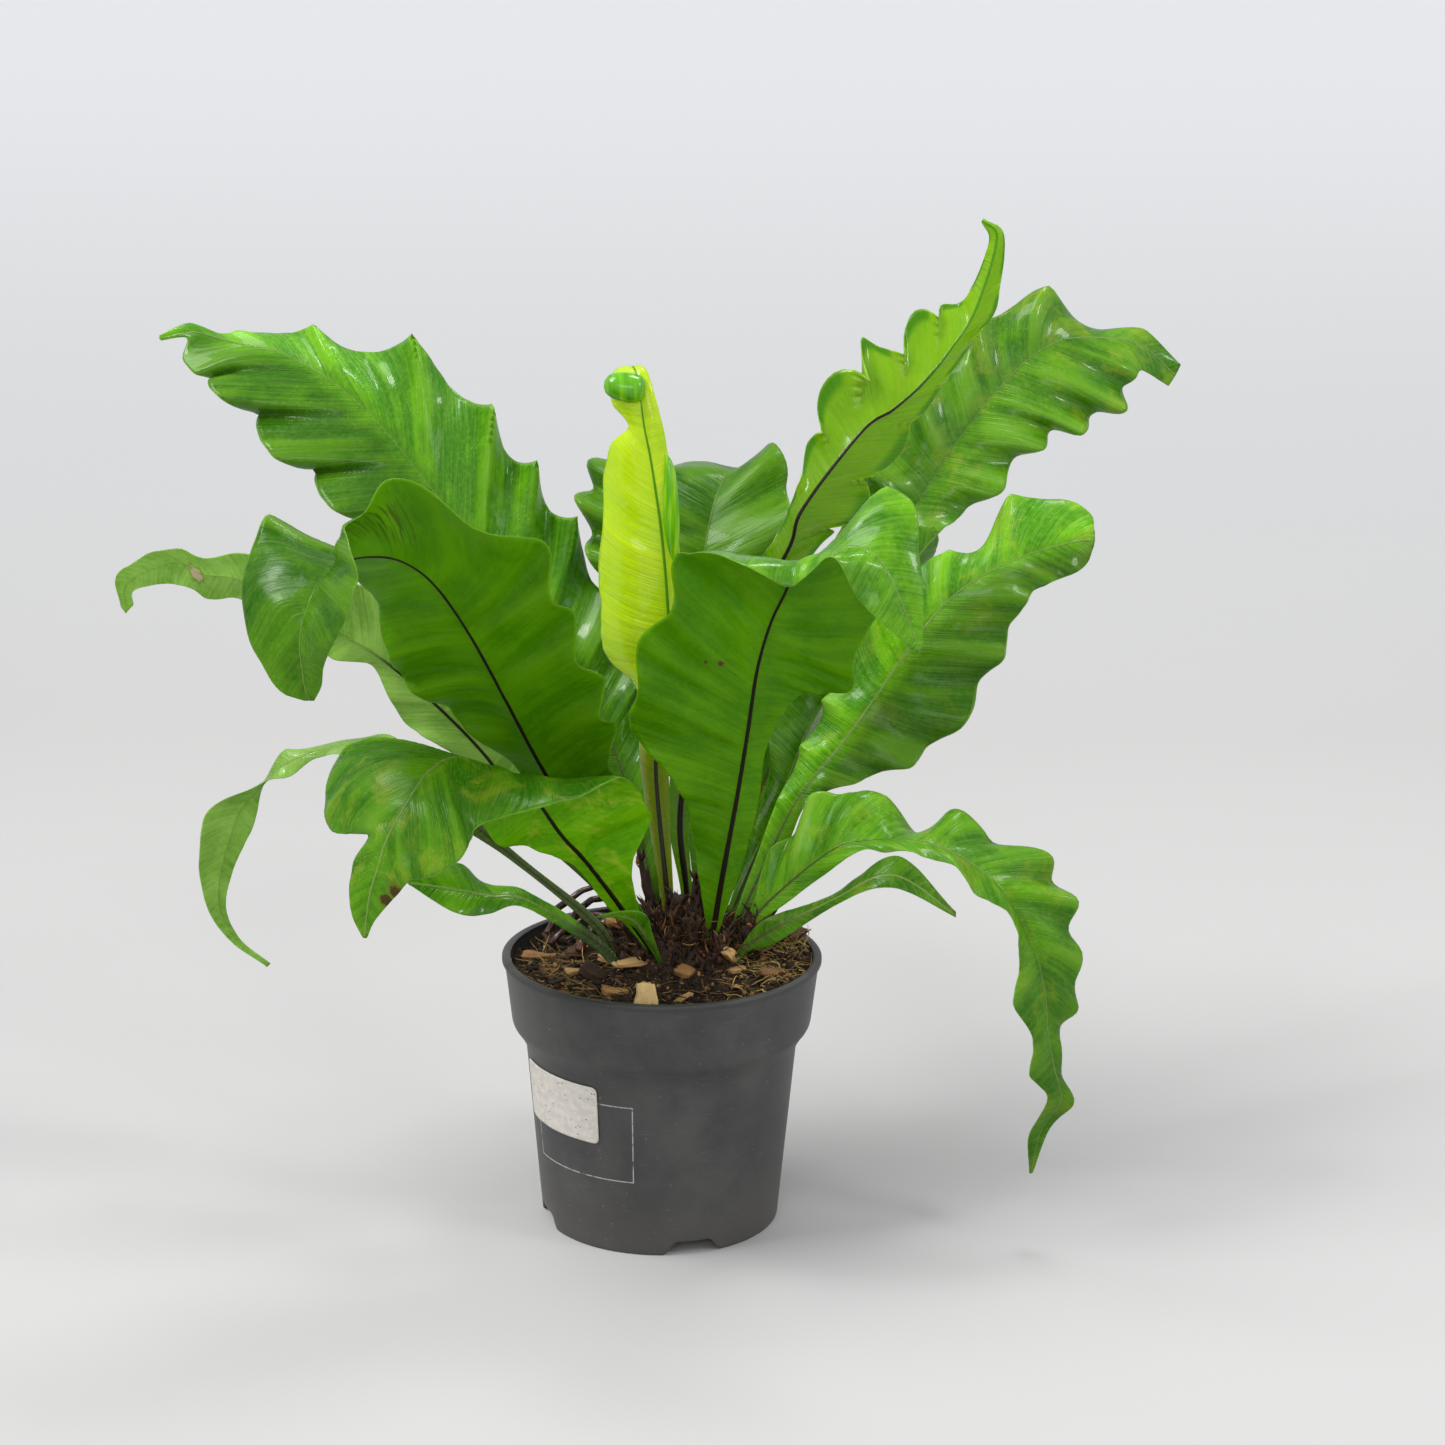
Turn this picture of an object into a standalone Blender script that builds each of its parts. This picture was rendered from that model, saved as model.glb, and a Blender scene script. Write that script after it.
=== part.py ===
"""Bird's nest fern in a plastic nursery pot: metres, +Z up, standing on z = 0, seen from -Y."""

import math
import random

import bpy
import numpy as np
from mathutils import Matrix, Vector, noise

MM = 0.001
GAP = 0.3  # clearance between pieces that touch, mm

# Pot, mm.
POT_HEIGHT = 146.0
RIM_RADIUS = 85.0
LIP_HEIGHT = 3.2
BAND_TOP_RADIUS = 83.6
BAND_FOOT_RADIUS = 79.8
BAND_FOOT_Z = 111.0
SHOULDER_RADIUS = 72.2
SHOULDER_Z = 97.5
BASE_RADIUS = 63.5
WALL = 1.8
FLOOR_Z = 8.0
FLOOR_TOP_Z = 10.0
FOOT_PAD_RADIUS = 16.0
POT_STEPS = 44
NOTCH_FOOT_WIDTH = 29.0
NOTCH_TOP_WIDTH = 20.0
NOTCH_HEIGHT = 7.0
NOTCH_TURNS = (-74, 16, 106, 196)
DRAIN_COUNT = 8
DRAIN_RADIUS = 4.5
DRAIN_CIRCLE = 42.0
CUTTER_SPARE = 2.0  # how far a cutter runs past what it cuts

# Sticker on the pot's left front, mm and degrees.
STICKER_Z = (61.5, 93.5)
STICKER_TURN = (-165.0, -117.5)
STICKER_THICK = 0.6
STICKER_COLUMNS = 12

# Compost and the crown that the fronds rise from, mm.
COMPOST_EDGE_Z = 137.0
COMPOST_HEAP = 6.0
COMPOST_HEAP_CENTRE = (22.0, 18.0)
COMPOST_HEAP_SPREAD = 48.0
COMPOST_EASE = 0.5  # between compost and wall, beyond the gap
CRUMBS = ((2.0, 9.0, 3.0), (1.2, 4.0, 8.0))  # height, size and noise layer
COMPOST_RINGS = 8
COMPOST_SPOKES = 38
CROWN_CENTRE = (13.0, 12.0)
CROWN_RADII = (41.0, 31.0)
CROWN_FOOT_Z = 126.0
CROWN_SIDE_Z = 140.0
CROWN_DOME = 26.0
CROWN_BLUNTNESS = 0.7  # 0.5 would make the dome a round one, 1 a pointed one
CROWN_LUMP_HEIGHT = 2.4
CROWN_LUMP_SIZE = 7.0
CROWN_RINGS = 6
CROWN_SPOKES = 24
STEM_HOLE_EASE = 0.8  # the hole's radius over the stem foot's half width
STEM_HOLE_FLARE = 2.0  # how much wider the hole's mouth is
STEM_HOLE_LENGTH = 42.0
STEM_HOLE_SINK = 2.2  # how far the hole runs on below the stem's foot
SCALE_COUNT = 18
SCALE_SHARES = (0.1, 0.86)  # how far out they stand, as shares of the crown's radius
SCALE_RADIUS = 2.0
SCALE_HEIGHTS = (7.0, 15.0)
SCALE_CLEARANCE = 6.3  # from a stem's foot
SCALE_LEAN = 0.35
FILL_SEED = 5

# Fronds, mm.
BLADE_THICK = 0.8
STEM_THICK = 2.6
KEEL_HEIGHT = 1.6
KEEL_SHARE = 0.06  # the keel's half width, as a share of the blade's
ROW_GAP_LEAST = 9.0
ROW_GAP_MOST = 23.0  # unless the frond has its own row_gap
SCALLOP = 0.06  # how far a margin's crest reaches out, as a share of the half width
VEIN_SLANT = 0.55  # how far the folds run forward from midrib to margin, as a share of the half width
BULGE = 0.05  # how far each half of the blade arches, as a share of its width
FULL_WAVE_WIDTH = 34.0  # a half blade this wide or wider has its whole wave
TIP_FADE = 50.0  # the length before the tip where the wave dies away
TIP_WAVE = 0.15
WAVE_POWER = 1.5  # how late the wave rises between midrib and margin
STEM_TAPER = 30.0  # the length over which a stem's thickness falls towards a blade's
WIDE_COLUMNS = (-1, -0.62, -0.28, -KEEL_SHARE, 0, KEEL_SHARE, 0.28, 0.62, 1)
SLIM_COLUMNS = (-1, -0.5, -0.1, 0, 0.1, 0.5, 1)

# Each frond's stations run from its foot to its tip, placed by eye against the photograph. A station
# holds the midrib's point and, measured from that point, the left and right margins, as seen from the
# upper side by someone who looks along the frond towards its tip. Crests are where a margin's waves
# peak, as distances along the midrib. All are in mm.
FRONDS = {
    "frond_back_left": {
        "stations": (
            ((0, 24, 138), (-3, 0, 0), (3, 0, 0)),
            ((-4, 25, 168), (-3, 0, 0), (3, 0, 1)),
            ((-18, 45, 220), (-6, -2, -3), (11, 0, 8)),
            ((-40, 70, 269), (-16, -6, -15), (23, -2, 9)),
            ((-71, 95, 308), (-24, -10, -20), (37, -4, 21)),
            ((-105, 118, 342), (-30, -14, -24), (36, -6, 38)),
            ((-136, 140, 377), (-29, -16, -27), (33, -6, 42)),
            ((-162, 158, 404), (-34, -16, -30), (25, -2, 40)),
            ((-189, 174, 424), (-36, -14, -26), (8, 10, 21)),
            ((-218, 186, 437), (-32, -10, -18), (2, 14, 14)),
            ((-244, 195, 441), (-18, -6, -17), (-3, 8, 4)),
            ((-260, 199, 445), (-13, -3, -13), (-4, 5, 5)),
            ((-269, 201, 446), (-3, -1, -3), (-4, 3, 5)),
            ((-288, 204, 442), (1, 0, -1), (0, 0, 2)),
        ),
        "left_crests": (200, 245, 285, 325, 368, 414, 453),
        "right_crests": (185, 231, 261, 298, 354, 404, 446),
        "wave": 9.0,
        "scallop": 0.17,
        "right_edge": "points",
        "left_edge": "lobes",
        "left_valley": 0.68,
        "slant": 0.95,
    },
    "frond_left": {
        "stations": (
            ((-8, 4, 138), (3, 0, 0), (-3, 0, 0)),
            ((-13, 1, 167), (3, 0, 0), (-3, 0, 0)),
            ((-34, -12, 201), (7, -3, 6), (-5, 3, -4)),
            ((-63, -32, 258), (37, -12, 14), (-15, 8, -4)),
            ((-80, -46, 296), (48, -16, 10), (-29, 15, -12)),
            ((-97, -60, 333), (49, -18, 12), (-36, 20, -28)),
            ((-113, -74, 361), (52, -20, 22), (-28, 25, -34)),
            ((-127, -86, 375), (28, -20, 29), (-16, 32, -28)),
            ((-140, -97, 380), (8, -18, 39), (-14, 42, -18)),
            ((-153, -110, 380), (4, -26, 25), (-22, 44, 0)),
            ((-165, -122, 371), (23, -28, 13), (-30, 34, 23)),
            ((-171, -130, 357), (26, -24, 10), (-34, 26, 19)),
            ((-173, -134, 345), (19, -16, 6), (-27, 16, 5)),
            ((-172, -134, 333), (11, -6, 3), (-19, 8, -1)),
            ((-170, -132, 322), (7, -1, 2), (-11, 1, -2)),
        ),
        "left_crests": (148, 186, 224, 261, 294),
        "right_crests": (140, 185, 230, 275, 330),
        "wave": 4.5,
        "scallop": 0.05,
        "row_gap": 15.0,
    },
    "frond_left_far": {
        "stations": (
            ((-22, 16, 138), (2, 0, 2), (-2, 0, -2)),
            ((-30, 18, 170), (2, 0, 1), (-2, 0, -1)),
            ((-74, 23, 219), (8, -2, 5), (-7, 2, -6)),
            ((-95, 27, 247), (16, -5, 11), (-16, 4, -2)),
            ((-121, 32, 273), (24, -8, 16), (-18, 6, -11)),
            ((-148, 38, 295), (22, -10, 30), (-7, 8, -6)),
            ((-173, 44, 310), (12, -8, 24), (-7, 8, -16)),
            ((-199, 50, 322), (6, -6, 23), (-2, 8, -18)),
            ((-226, 55, 335), (0, -4, 14), (0, 8, -13)),
            ((-245, 58, 337), (-2, -3, 10), (0, 6, -16)),
            ((-261, 60, 343), (-5, -3, 8), (3, 5, -13)),
            ((-287, 63, 331), (-4, -6, 6), (4, 2, -4)),
            ((-289, 64, 314), (-2, -3, 5), (4, 2, 4)),
        ),
        "left_crests": (170, 236, 297, 324, 343, 363),
        "right_crests": (172, 209, 243, 319, 345),
        "wave": 4.0,
    },
    "frond_low_left": {
        "stations": (
            ((0, -6, 137), (3, 0, 0), (-3, 0, 0)),
            ((-8, -12, 155), (3, 0, 0), (-3, 0, 0)),
            ((-24, -19, 181), (10, -3, 1), (-6, 2, -2)),
            ((-39, -27, 204), (24, -8, 3), (-8, 4, -3)),
            ((-53, -36, 223), (46, -12, 12), (-17, 10, -11)),
            ((-66, -46, 245), (54, -16, 10), (-18, 14, -31)),
            ((-80, -60, 260), (49, -32, 4), (-19, 28, -26)),
            ((-94, -76, 272), (37, -34, -13), (-20, 40, -15)),
            ((-106, -90, 277), (19, -32, -24), (-30, 46, -6)),
            ((-116, -104, 273), (24, -24, -26), (-48, 44, 0)),
            ((-123, -114, 264), (24, -20, -26), (-47, 36, -9)),
            ((-130, -120, 253), (17, -16, -23), (-32, 28, -14)),
            ((-135, -124, 243), (13, -10, -15), (-9, 12, 1)),
            ((-138, -127, 233), (12, -5, -10), (-14, 11, -2)),
            ((-142, -129, 220), (10, -2, -4), (-11, 7, -1)),
            ((-144, -130, 207), (4, -1, -1), (-7, 4, -1)),
            ((-145, -130, 197), (1, 0, 0), (-1, 0, 0)),
        ),
        "left_crests": (100, 150, 196, 240, 290),
        "right_crests": (120, 165, 205, 250, 300),
        "wave": 2.5,
        "scallop": 0.03,
        "row_gap": 16.0,
    },
    "frond_trailing_left": {
        "stations": (
            ((-24, 6, 139), (-2, 0, -2), (2, 0, 2)),
            ((-37, 12, 159), (-2, 0, -2), (2, 0, 2)),
            ((-85, 28, 194), (-2, 0, -2), (2, 0, 2)),
            ((-141, 42, 235), (-3, -12, -9), (3, 12, 8)),
            ((-166, 47, 245), (-2, -12, -3), (3, 12, 3)),
            ((-188, 50, 241), (1, -4, -2), (-4, 6, 0)),
            ((-204, 52, 234), (3, -4, -6), (-3, 6, 5)),
            ((-217, 53, 222), (0, -8, 3), (0, 6, -3)),
            ((-232, 52, 201), (-16, -6, 3), (9, 6, -3)),
            ((-242, 49, 161), (-7, -4, 0), (4, 4, -1)),
            ((-234, 48, 137), (-3, -2, 0), (2, 2, 0)),
            ((-215, 47, 121), (-1, 0, -1), (1, 0, 1)),
        ),
        "left_crests": (150, 190, 230, 262, 300),
        "right_crests": (170, 210, 250, 290),
        "wave": 3.0,
        "slim": True,
    },
    "frond_short_left": {
        "stations": (
            ((-22, -6, 138), (-2, -1, -1), (2, 1, 1)),
            ((-36, -4, 153), (-2, -2, -2), (2, 2, 2)),
            ((-72, -14, 179), (-1, -5, -2), (1, 6, 3)),
            ((-90, -20, 183), (-1, -8, -7), (-2, 10, 3)),
            ((-106, -26, 188), (-1, -10, -9), (-1, 14, 11)),
            ((-132, -35, 195), (1, 0, -1), (0, 0, 1)),
        ),
        "left_crests": (60, 105),
        "right_crests": (80, 118),
        "wave": 2.0,
        "slim": True,
    },
    "frond_young_middle": {
        "stations": (
            ((5, 13, 138), (3, 0, 0), (-3, 0, 0)),
            ((3, 12, 169), (3, 0, 0), (-3, 0, 0)),
            ((-4, 8, 244), (7, 5, -1), (-8, 5, -1)),
            ((-1, 5, 283), (9, 7, -2), (-12, 8, 3)),
            ((2, 3, 316), (6, 9, -2), (-32, 11, -11)),
            ((1, 2, 343), (7, 10, -8), (-35, 14, -9)),
            ((-2, 2, 374), (9, 6, 0), (-31, 15, -6)),
            ((-5, 3, 395), (9, 3, 1), (-27, 13, 1)),
            ((-8, 4, 413), (9, 2, 1), (-20, 8, 4)),
            ((-11, 5, 428), (10, 0, -3), (-8, 3, -1)),
            ((-13, 7, 442), (8, 0, -1), (-14, 2, -4)),
            ((-15, 11, 453), (6, 0, 0), (-14, 1, -5)),
            ((-17, 17, 456), (6, -1, 0), (-11, 1, -4)),
            ((-18, 24, 454), (5, -1, -1), (-10, 1, -4)),
            ((-18, 27, 448), (4, -1, -1), (-9, 1, -3)),
        ),
        "left_crests": (190, 245, 290, 330),
        "right_crests": (180, 225, 262, 310),
        "wave": 1.5,
        "scallop": 0.03,
        "young": True,
    },
    "frond_front": {
        "stations": (
            ((23, -2, 137), (3, 0, 0), (-3, 0, 0)),
            ((27, -7, 160), (3, 0, 0), (-4, 0, 0)),
            ((31, -12, 190), (8, 1, 0), (-12, 3, 0)),
            ((38, -24, 238), (11, 5, -6), (-27, 6, -3)),
            ((43, -36, 278), (11, 8, -6), (-57, 12, -3)),
            ((47, -48, 313), (22, 8, -16), (-61, 18, 0)),
            ((53, -58, 339), (40, 2, -34), (-51, 22, 5)),
            ((59, -66, 355), (40, -4, -27), (-53, 24, 13)),
            ((64, -76, 369), (42, 4, -17), (-52, 18, 8)),
            ((70, -89, 378), (39, 19, 7), (-33, -11, 0)),
            ((84, -101, 387), (22, 21, 27), (-24, -7, -17)),
            ((99, -110, 387), (20, 13, 18), (-19, -9, -2)),
            ((108, -116, 376), (15, 8, 11), (-16, -6, -9)),
            ((115, -119, 361), (9, 3, 5), (-12, -3, -5)),
            ((123, -120, 340), (1, 0, 1), (-2, 0, 0)),
        ),
        "left_crests": (116, 200, 262, 305, 340),
        "right_crests": (73, 147, 195, 228, 262, 305, 340),
        "wave": 3.0,
        "row_gap": 16.0,
    },
    "frond_young_right": {
        "stations": (
            ((14, 22, 138), (3, 0, 0), (-3, 0, 0)),
            ((13, 22, 172), (3, 0, 0), (-3, 0, 0)),
            ((9, 19, 214), (5, 3, -1), (-6, 3, -1)),
            ((15, 15, 259), (7, 5, -4), (-8, 5, 1)),
            ((30, 12, 303), (11, 6, -6), (-10, 6, 4)),
            ((63, 10, 361), (15, 8, 0), (-8, 8, 3)),
            ((71, 11, 384), (23, 8, -7), (-5, 8, 4)),
            ((101, 16, 424), (18, 8, -9), (-18, 8, 11)),
            ((117, 19, 435), (15, 7, -4), (-16, 8, 26)),
            ((132, 22, 448), (12, 6, 1), (-15, 8, 15)),
            ((146, 25, 465), (14, 5, 6), (-10, 7, 18)),
            ((159, 28, 486), (11, 4, 3), (-6, 5, 4)),
            ((169, 32, 522), (4, 2, 1), (-4, 2, -3)),
            ((161, 32, 531), (1, 0, 1), (0, 0, -1)),
        ),
        "left_crests": (241, 265, 310, 341, 360, 390, 427),
        "right_crests": (219, 254, 286, 313, 342, 366, 386, 417),
        "wave": 6.0,
        "scallop": 0.2,
        "left_edge": "lobes",
        "right_edge": "lobes",
        "young": True,
    },
    "frond_back_right": {
        "stations": (
            ((28, 27, 138), (-3, 0, 0), (3, 0, 0)),
            ((32, 33, 162), (-3, 0, 1), (3, 0, -1)),
            ((43, 48, 197), (-8, 0, 3), (8, 0, -3)),
            ((61, 68, 237), (-13, 0, 7), (13, 0, -7)),
            ((83, 90, 280), (-17, 0, 10), (18, -4, -10)),
            ((108, 112, 319), (-23, -2, 16), (22, -8, -9)),
            ((133, 130, 353), (-30, -4, 10), (16, -10, -6)),
            ((159, 148, 391), (-38, -8, -1), (19, -12, -25)),
            ((182, 163, 419), (-30, -4, 9), (23, -14, -27)),
            ((205, 176, 440), (-25, 4, 21), (27, -16, -37)),
            ((225, 185, 449), (-15, 12, 27), (25, -16, -40)),
            ((246, 192, 449), (-6, 12, 7), (15, -14, -29)),
            ((269, 198, 445), (3, 8, 7), (0, -8, -14)),
            ((291, 200, 427), (3, 1, 6), (-4, -1, -6)),
        ),
        "left_crests": (255, 295, 341, 381, 415, 457),
        "right_crests": (225, 271, 322, 355, 382, 418, 449),
        "wave": 8.0,
        "scallop": 0.13,
        "left_edge": "points",
        "right_valley": 0.6,
        "slant": 0.85,
    },
    "frond_right": {
        "stations": (
            ((33, 9, 138), (-3, 0, 1), (3, 0, -1)),
            ((41, 12, 160), (-3, 0, 1), (3, 0, -1)),
            ((60, 17, 202), (-6, 3, 2), (6, -3, -1)),
            ((74, 20, 229), (-10, 6, 1), (5, -5, -2)),
            ((94, 24, 254), (-18, 10, 0), (17, -8, -15)),
            ((115, 28, 284), (-25, 12, -3), (30, -12, -28)),
            ((133, 33, 310), (-20, 14, 15), (35, -15, -22)),
            ((151, 37, 331), (-13, 14, 19), (30, -15, -17)),
            ((170, 41, 344), (-4, 16, 11), (21, -14, -10)),
            ((188, 46, 352), (-5, 18, 28), (14, -10, -12)),
            ((206, 50, 357), (3, 18, 24), (11, -6, -13)),
            ((220, 53, 360), (7, 12, 13), (5, -3, -11)),
            ((229, 55, 360), (0, 2, 4), (-1, -1, -4)),
        ),
        "left_crests": (163, 205, 242, 274, 302),
        "right_crests": (150, 187, 220, 251, 277, 299),
        "wave": 6.0,
        "scallop": 0.1,
        "left_edge": "points",
    },
    "frond_low_right": {
        "stations": (
            ((36, -1, 137), (-2, 1, 1), (2, -1, -1)),
            ((46, 3, 159), (-2, 1, 2), (2, -1, -1)),
            ((60, 0, 178), (-1, 10, 22), (7, -3, -2)),
            ((90, -8, 206), (3, 20, 29), (12, -8, 1)),
            ((109, -12, 212), (8, 22, 15), (8, -10, -2)),
            ((129, -17, 214), (8, 22, 0), (3, -12, -4)),
            ((147, -22, 211), (7, 22, 12), (2, -12, -4)),
            ((162, -27, 204), (16, 20, 10), (0, -12, -12)),
            ((176, -31, 192), (25, 17, 10), (2, -12, -6)),
            ((186, -34, 177), (27, 12, 9), (-4, -12, -3)),
            ((195, -37, 158), (22, 8, 2), (-9, -10, 0)),
            ((200, -39, 137), (18, 6, -6), (-18, -10, -1)),
            ((202, -40, 117), (8, 5, -1), (-8, -8, 0)),
            ((206, -41, 97), (5, 4, -3), (-14, -8, 0)),
            ((210, -42, 80), (7, 2, -3), (-7, -5, 3)),
            ((200, -42, 62), (5, 1, 1), (-6, -3, 0)),
            ((196, -42, 38), (1, 0, 1), (-1, 0, 1)),
        ),
        "left_crests": (75, 112, 150, 185, 209, 230, 254, 280, 304),
        "right_crests": (126, 159, 207, 247, 287, 321),
        "wave": 4.5,
        "scallop": 0.1,
    },
    "frond_short_right": {
        "stations": (
            ((33, -11, 138), (-2, 1, 1), (2, -1, -1)),
            ((43, -8, 150), (-2, 1, 1), (2, -1, -1)),
            ((57, -12, 162), (-1, 5, 6), (3, -4, -5)),
            ((89, -24, 183), (-1, 7, 0), (3, -4, 0)),
            ((119, -33, 200), (2, 8, 8), (0, -5, -5)),
            ((152, -41, 181), (0, 0, 2), (0, 0, -1)),
        ),
        "left_crests": (70, 118),
        "right_crests": (90, 140),
        "wave": 2.0,
        "slim": True,
    },
    "frond_back": {
        "stations": (
            ((17, 34, 138), (-3, 0, 0), (3, 0, 0)),
            ((20, 41, 166), (-3, 0, 0), (3, 0, 0)),
            ((18, 62, 246), (-13, -2, 0), (14, -2, 1)),
            ((18, 76, 293), (-29, -5, -2), (29, -5, 1)),
            ((22, 98, 347), (-62, -6, -5), (43, -10, -1)),
            ((31, 120, 377), (-75, 6, 0), (36, -6, 9)),
            ((40, 138, 381), (-65, 14, -1), (17, 4, 12)),
            ((49, 162, 375), (-49, 14, -1), (15, 6, 12)),
            ((55, 186, 355), (-30, 6, 1), (13, 4, 7)),
            ((60, 200, 326), (-3, 0, 1), (2, 0, 2)),
        ),
        "left_crests": (168, 220, 246, 267, 320),
        "right_crests": (190, 234, 272, 310),
        "wave": 6.0,
    },
    "frond_inner_right": {
        "stations": (
            ((31, 18, 138), (-2, 0, 1), (2, 0, -1)),
            ((36, 20, 159), (-2, 0, 1), (2, 0, -1)),
            ((66, 37, 228), (-10, 0, 3), (4, 14, -3)),
            ((75, 43, 251), (-19, 0, 7), (5, 20, -5)),
            ((86, 50, 272), (-21, 2, 5), (7, 26, -8)),
            ((101, 58, 298), (-20, 4, 11), (14, 24, -16)),
            ((119, 66, 325), (-15, 6, 13), (9, 20, -12)),
            ((135, 73, 345), (-9, 6, 15), (10, 12, -2)),
            ((147, 79, 358), (-2, 1, 4), (1, 1, -4)),
        ),
        "left_crests": (120, 165, 210),
        "right_crests": (140, 185, 230),
        "wave": 3.0,
    },
}

# Bark chips that show, mm: middle x and y, length, width, thickness, turn and tilt in degrees.
CHIPS = (
    (-8, -66, 12, 13, 3, 4, 12),
    (-29, -18, 16, 6, 3, 55, 15),
    (-15, -27, 15, 5, 3, 10, -12),
    (-38, -44, 14, 8, 4, 75, 10),
    (39, -30, 12, 9, 3, 50, 18),
    (12, -52, 11, 6, 4, -30, -14),
    (60, -36, 15, 6, 3, 35, 10),
    (-58, -28, 12, 7, 3, 20, 12),
)
CHIP_SCATTER = 12
CHIP_CIRCLES = (48.0, 70.0)  # the chips that are scattered lie this far from the middle
CHIP_LENGTHS = (6.0, 11.0)
CHIP_WIDTHS = (0.4, 0.7)  # as shares of the length
CHIP_THICK = 3.2
CHIP_TILT = 14.0
CHIP_RISE = 0.22  # how far a chip's middle lies over the compost, as a share of its thickness

# Colours: red, green, blue in linear light, and roughness.
PLASTIC = ("pot_plastic", (0.055, 0.056, 0.06), 0.5)
PAPER = ("sticker_paper", (0.78, 0.77, 0.73), 0.7)
SOIL = ("compost", (0.045, 0.026, 0.013), 0.95)
SCALES = ("crown_scales", (0.06, 0.028, 0.012), 0.85)
LEAF = ("frond_green", (0.075, 0.25, 0.012), 0.32)
YOUNG_LEAF = ("young_frond_lime", (0.3, 0.52, 0.012), 0.3)


def clear_scene():
    for obj in list(bpy.data.objects):
        bpy.data.objects.remove(obj, do_unlink=True)


def material(name, colour, roughness):
    made = bpy.data.materials.get(name)
    if made is None:
        made = bpy.data.materials.new(name)
        made.use_nodes = True
        shader = made.node_tree.nodes["Principled BSDF"]
        shader.inputs["Base Color"].default_value = (*colour, 1.0)
        shader.inputs["Roughness"].default_value = roughness
        shader.inputs["Metallic"].default_value = 0.0
    return made


def new_collection(name, is_helper=False):
    made = bpy.data.collections.new(name)
    bpy.context.scene.collection.children.link(made)
    made.hide_render = is_helper
    return made


def mesh_object(name, points, faces, collection, look=None, smooth=True):
    """An object from points in mm and faces."""
    mesh = bpy.data.meshes.new(name)
    mesh.from_pydata((np.asarray(points) * MM).tolist(), [], [list(map(int, face)) for face in faces])
    mesh.shade_smooth() if smooth else mesh.shade_flat()
    if look is not None:
        mesh.materials.append(material(*look))
    obj = bpy.data.objects.new(name, mesh)
    collection.objects.link(obj)
    return obj


def apply_modifiers(obj):
    """Gives the object the mesh that its modifiers make, and drops them."""
    graph = bpy.context.evaluated_depsgraph_get()
    made = bpy.data.meshes.new_from_object(obj.evaluated_get(graph))
    obj.modifiers.clear()
    obj.data = made


def boolean(obj, operation, other):
    """Joins or cuts the object with another object or a collection."""
    modifier = obj.modifiers.new(operation.lower(), "BOOLEAN")
    modifier.operation = operation
    modifier.solver = "EXACT"
    if isinstance(other, bpy.types.Collection):
        modifier.operand_type = "COLLECTION"
        modifier.collection = other
    else:
        modifier.object = other
    apply_modifiers(obj)


def move_to(obj, collection):
    """Takes the object out of the collections that hold it and puts it in this one."""
    for holder in list(obj.users_collection):
        holder.objects.unlink(obj)
    collection.objects.link(obj)


def drop_collection(collection):
    for obj in list(collection.objects):
        bpy.data.objects.remove(obj, do_unlink=True)
    bpy.data.collections.remove(collection)


def pot_inner_wall():
    """The inside of the pot from the floor to the rim, as (radius, height)."""
    return (
        (BASE_RADIUS - WALL + 0.9, FLOOR_TOP_Z),  # the taper's foot
        (SHOULDER_RADIUS - WALL, SHOULDER_Z),
        (BAND_FOOT_RADIUS - WALL - 2.2, BAND_FOOT_Z - 3.5),  # the slope up to the band
        (BAND_FOOT_RADIUS - WALL, BAND_FOOT_Z),
        (BAND_TOP_RADIUS - WALL, POT_HEIGHT - LIP_HEIGHT),
        (RIM_RADIUS - 2.4, POT_HEIGHT - 0.6),  # the lip's rounded inner edge
    )


def pot_outer_wall():
    """The outside of the pot from the rim down to its foot, as (radius, height)."""
    return (
        (RIM_RADIUS - 1.9, POT_HEIGHT),  # the lip's flat top
        (RIM_RADIUS - 0.7, POT_HEIGHT),
        (RIM_RADIUS, POT_HEIGHT - 0.8),  # the lip's face, between rounded edges
        (RIM_RADIUS, POT_HEIGHT - LIP_HEIGHT + 0.8),
        (BAND_TOP_RADIUS, POT_HEIGHT - LIP_HEIGHT - 0.4),
        (BAND_FOOT_RADIUS, BAND_FOOT_Z),
        (BAND_FOOT_RADIUS - 0.9, BAND_FOOT_Z - 3.0),  # the band's rounded foot
        (BAND_FOOT_RADIUS - 2.6, BAND_FOOT_Z - 4.6),
        (SHOULDER_RADIUS + 1.0, SHOULDER_Z + 1.8),  # the shoulder's rounded edge
        (SHOULDER_RADIUS, SHOULDER_Z),
        (BASE_RADIUS, 0.9),  # the skirt's rounded foot
        (BASE_RADIUS - 0.6, 0.0),
    )


def pot_foot():
    """The underside, from the skirt's inner foot to the axis."""
    return (
        (BASE_RADIUS - WALL - 0.3, 0.0),
        (BASE_RADIUS - WALL + 0.5, FLOOR_Z),
        (FOOT_PAD_RADIUS, FLOOR_Z),
        (FOOT_PAD_RADIUS, 0.0),
        (0.0, 0.0),
    )


def outer_radius(height):
    """The pot's outer radius on the taper below its shoulder."""
    share = height / SHOULDER_Z
    return BASE_RADIUS + (SHOULDER_RADIUS - BASE_RADIUS) * share


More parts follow.
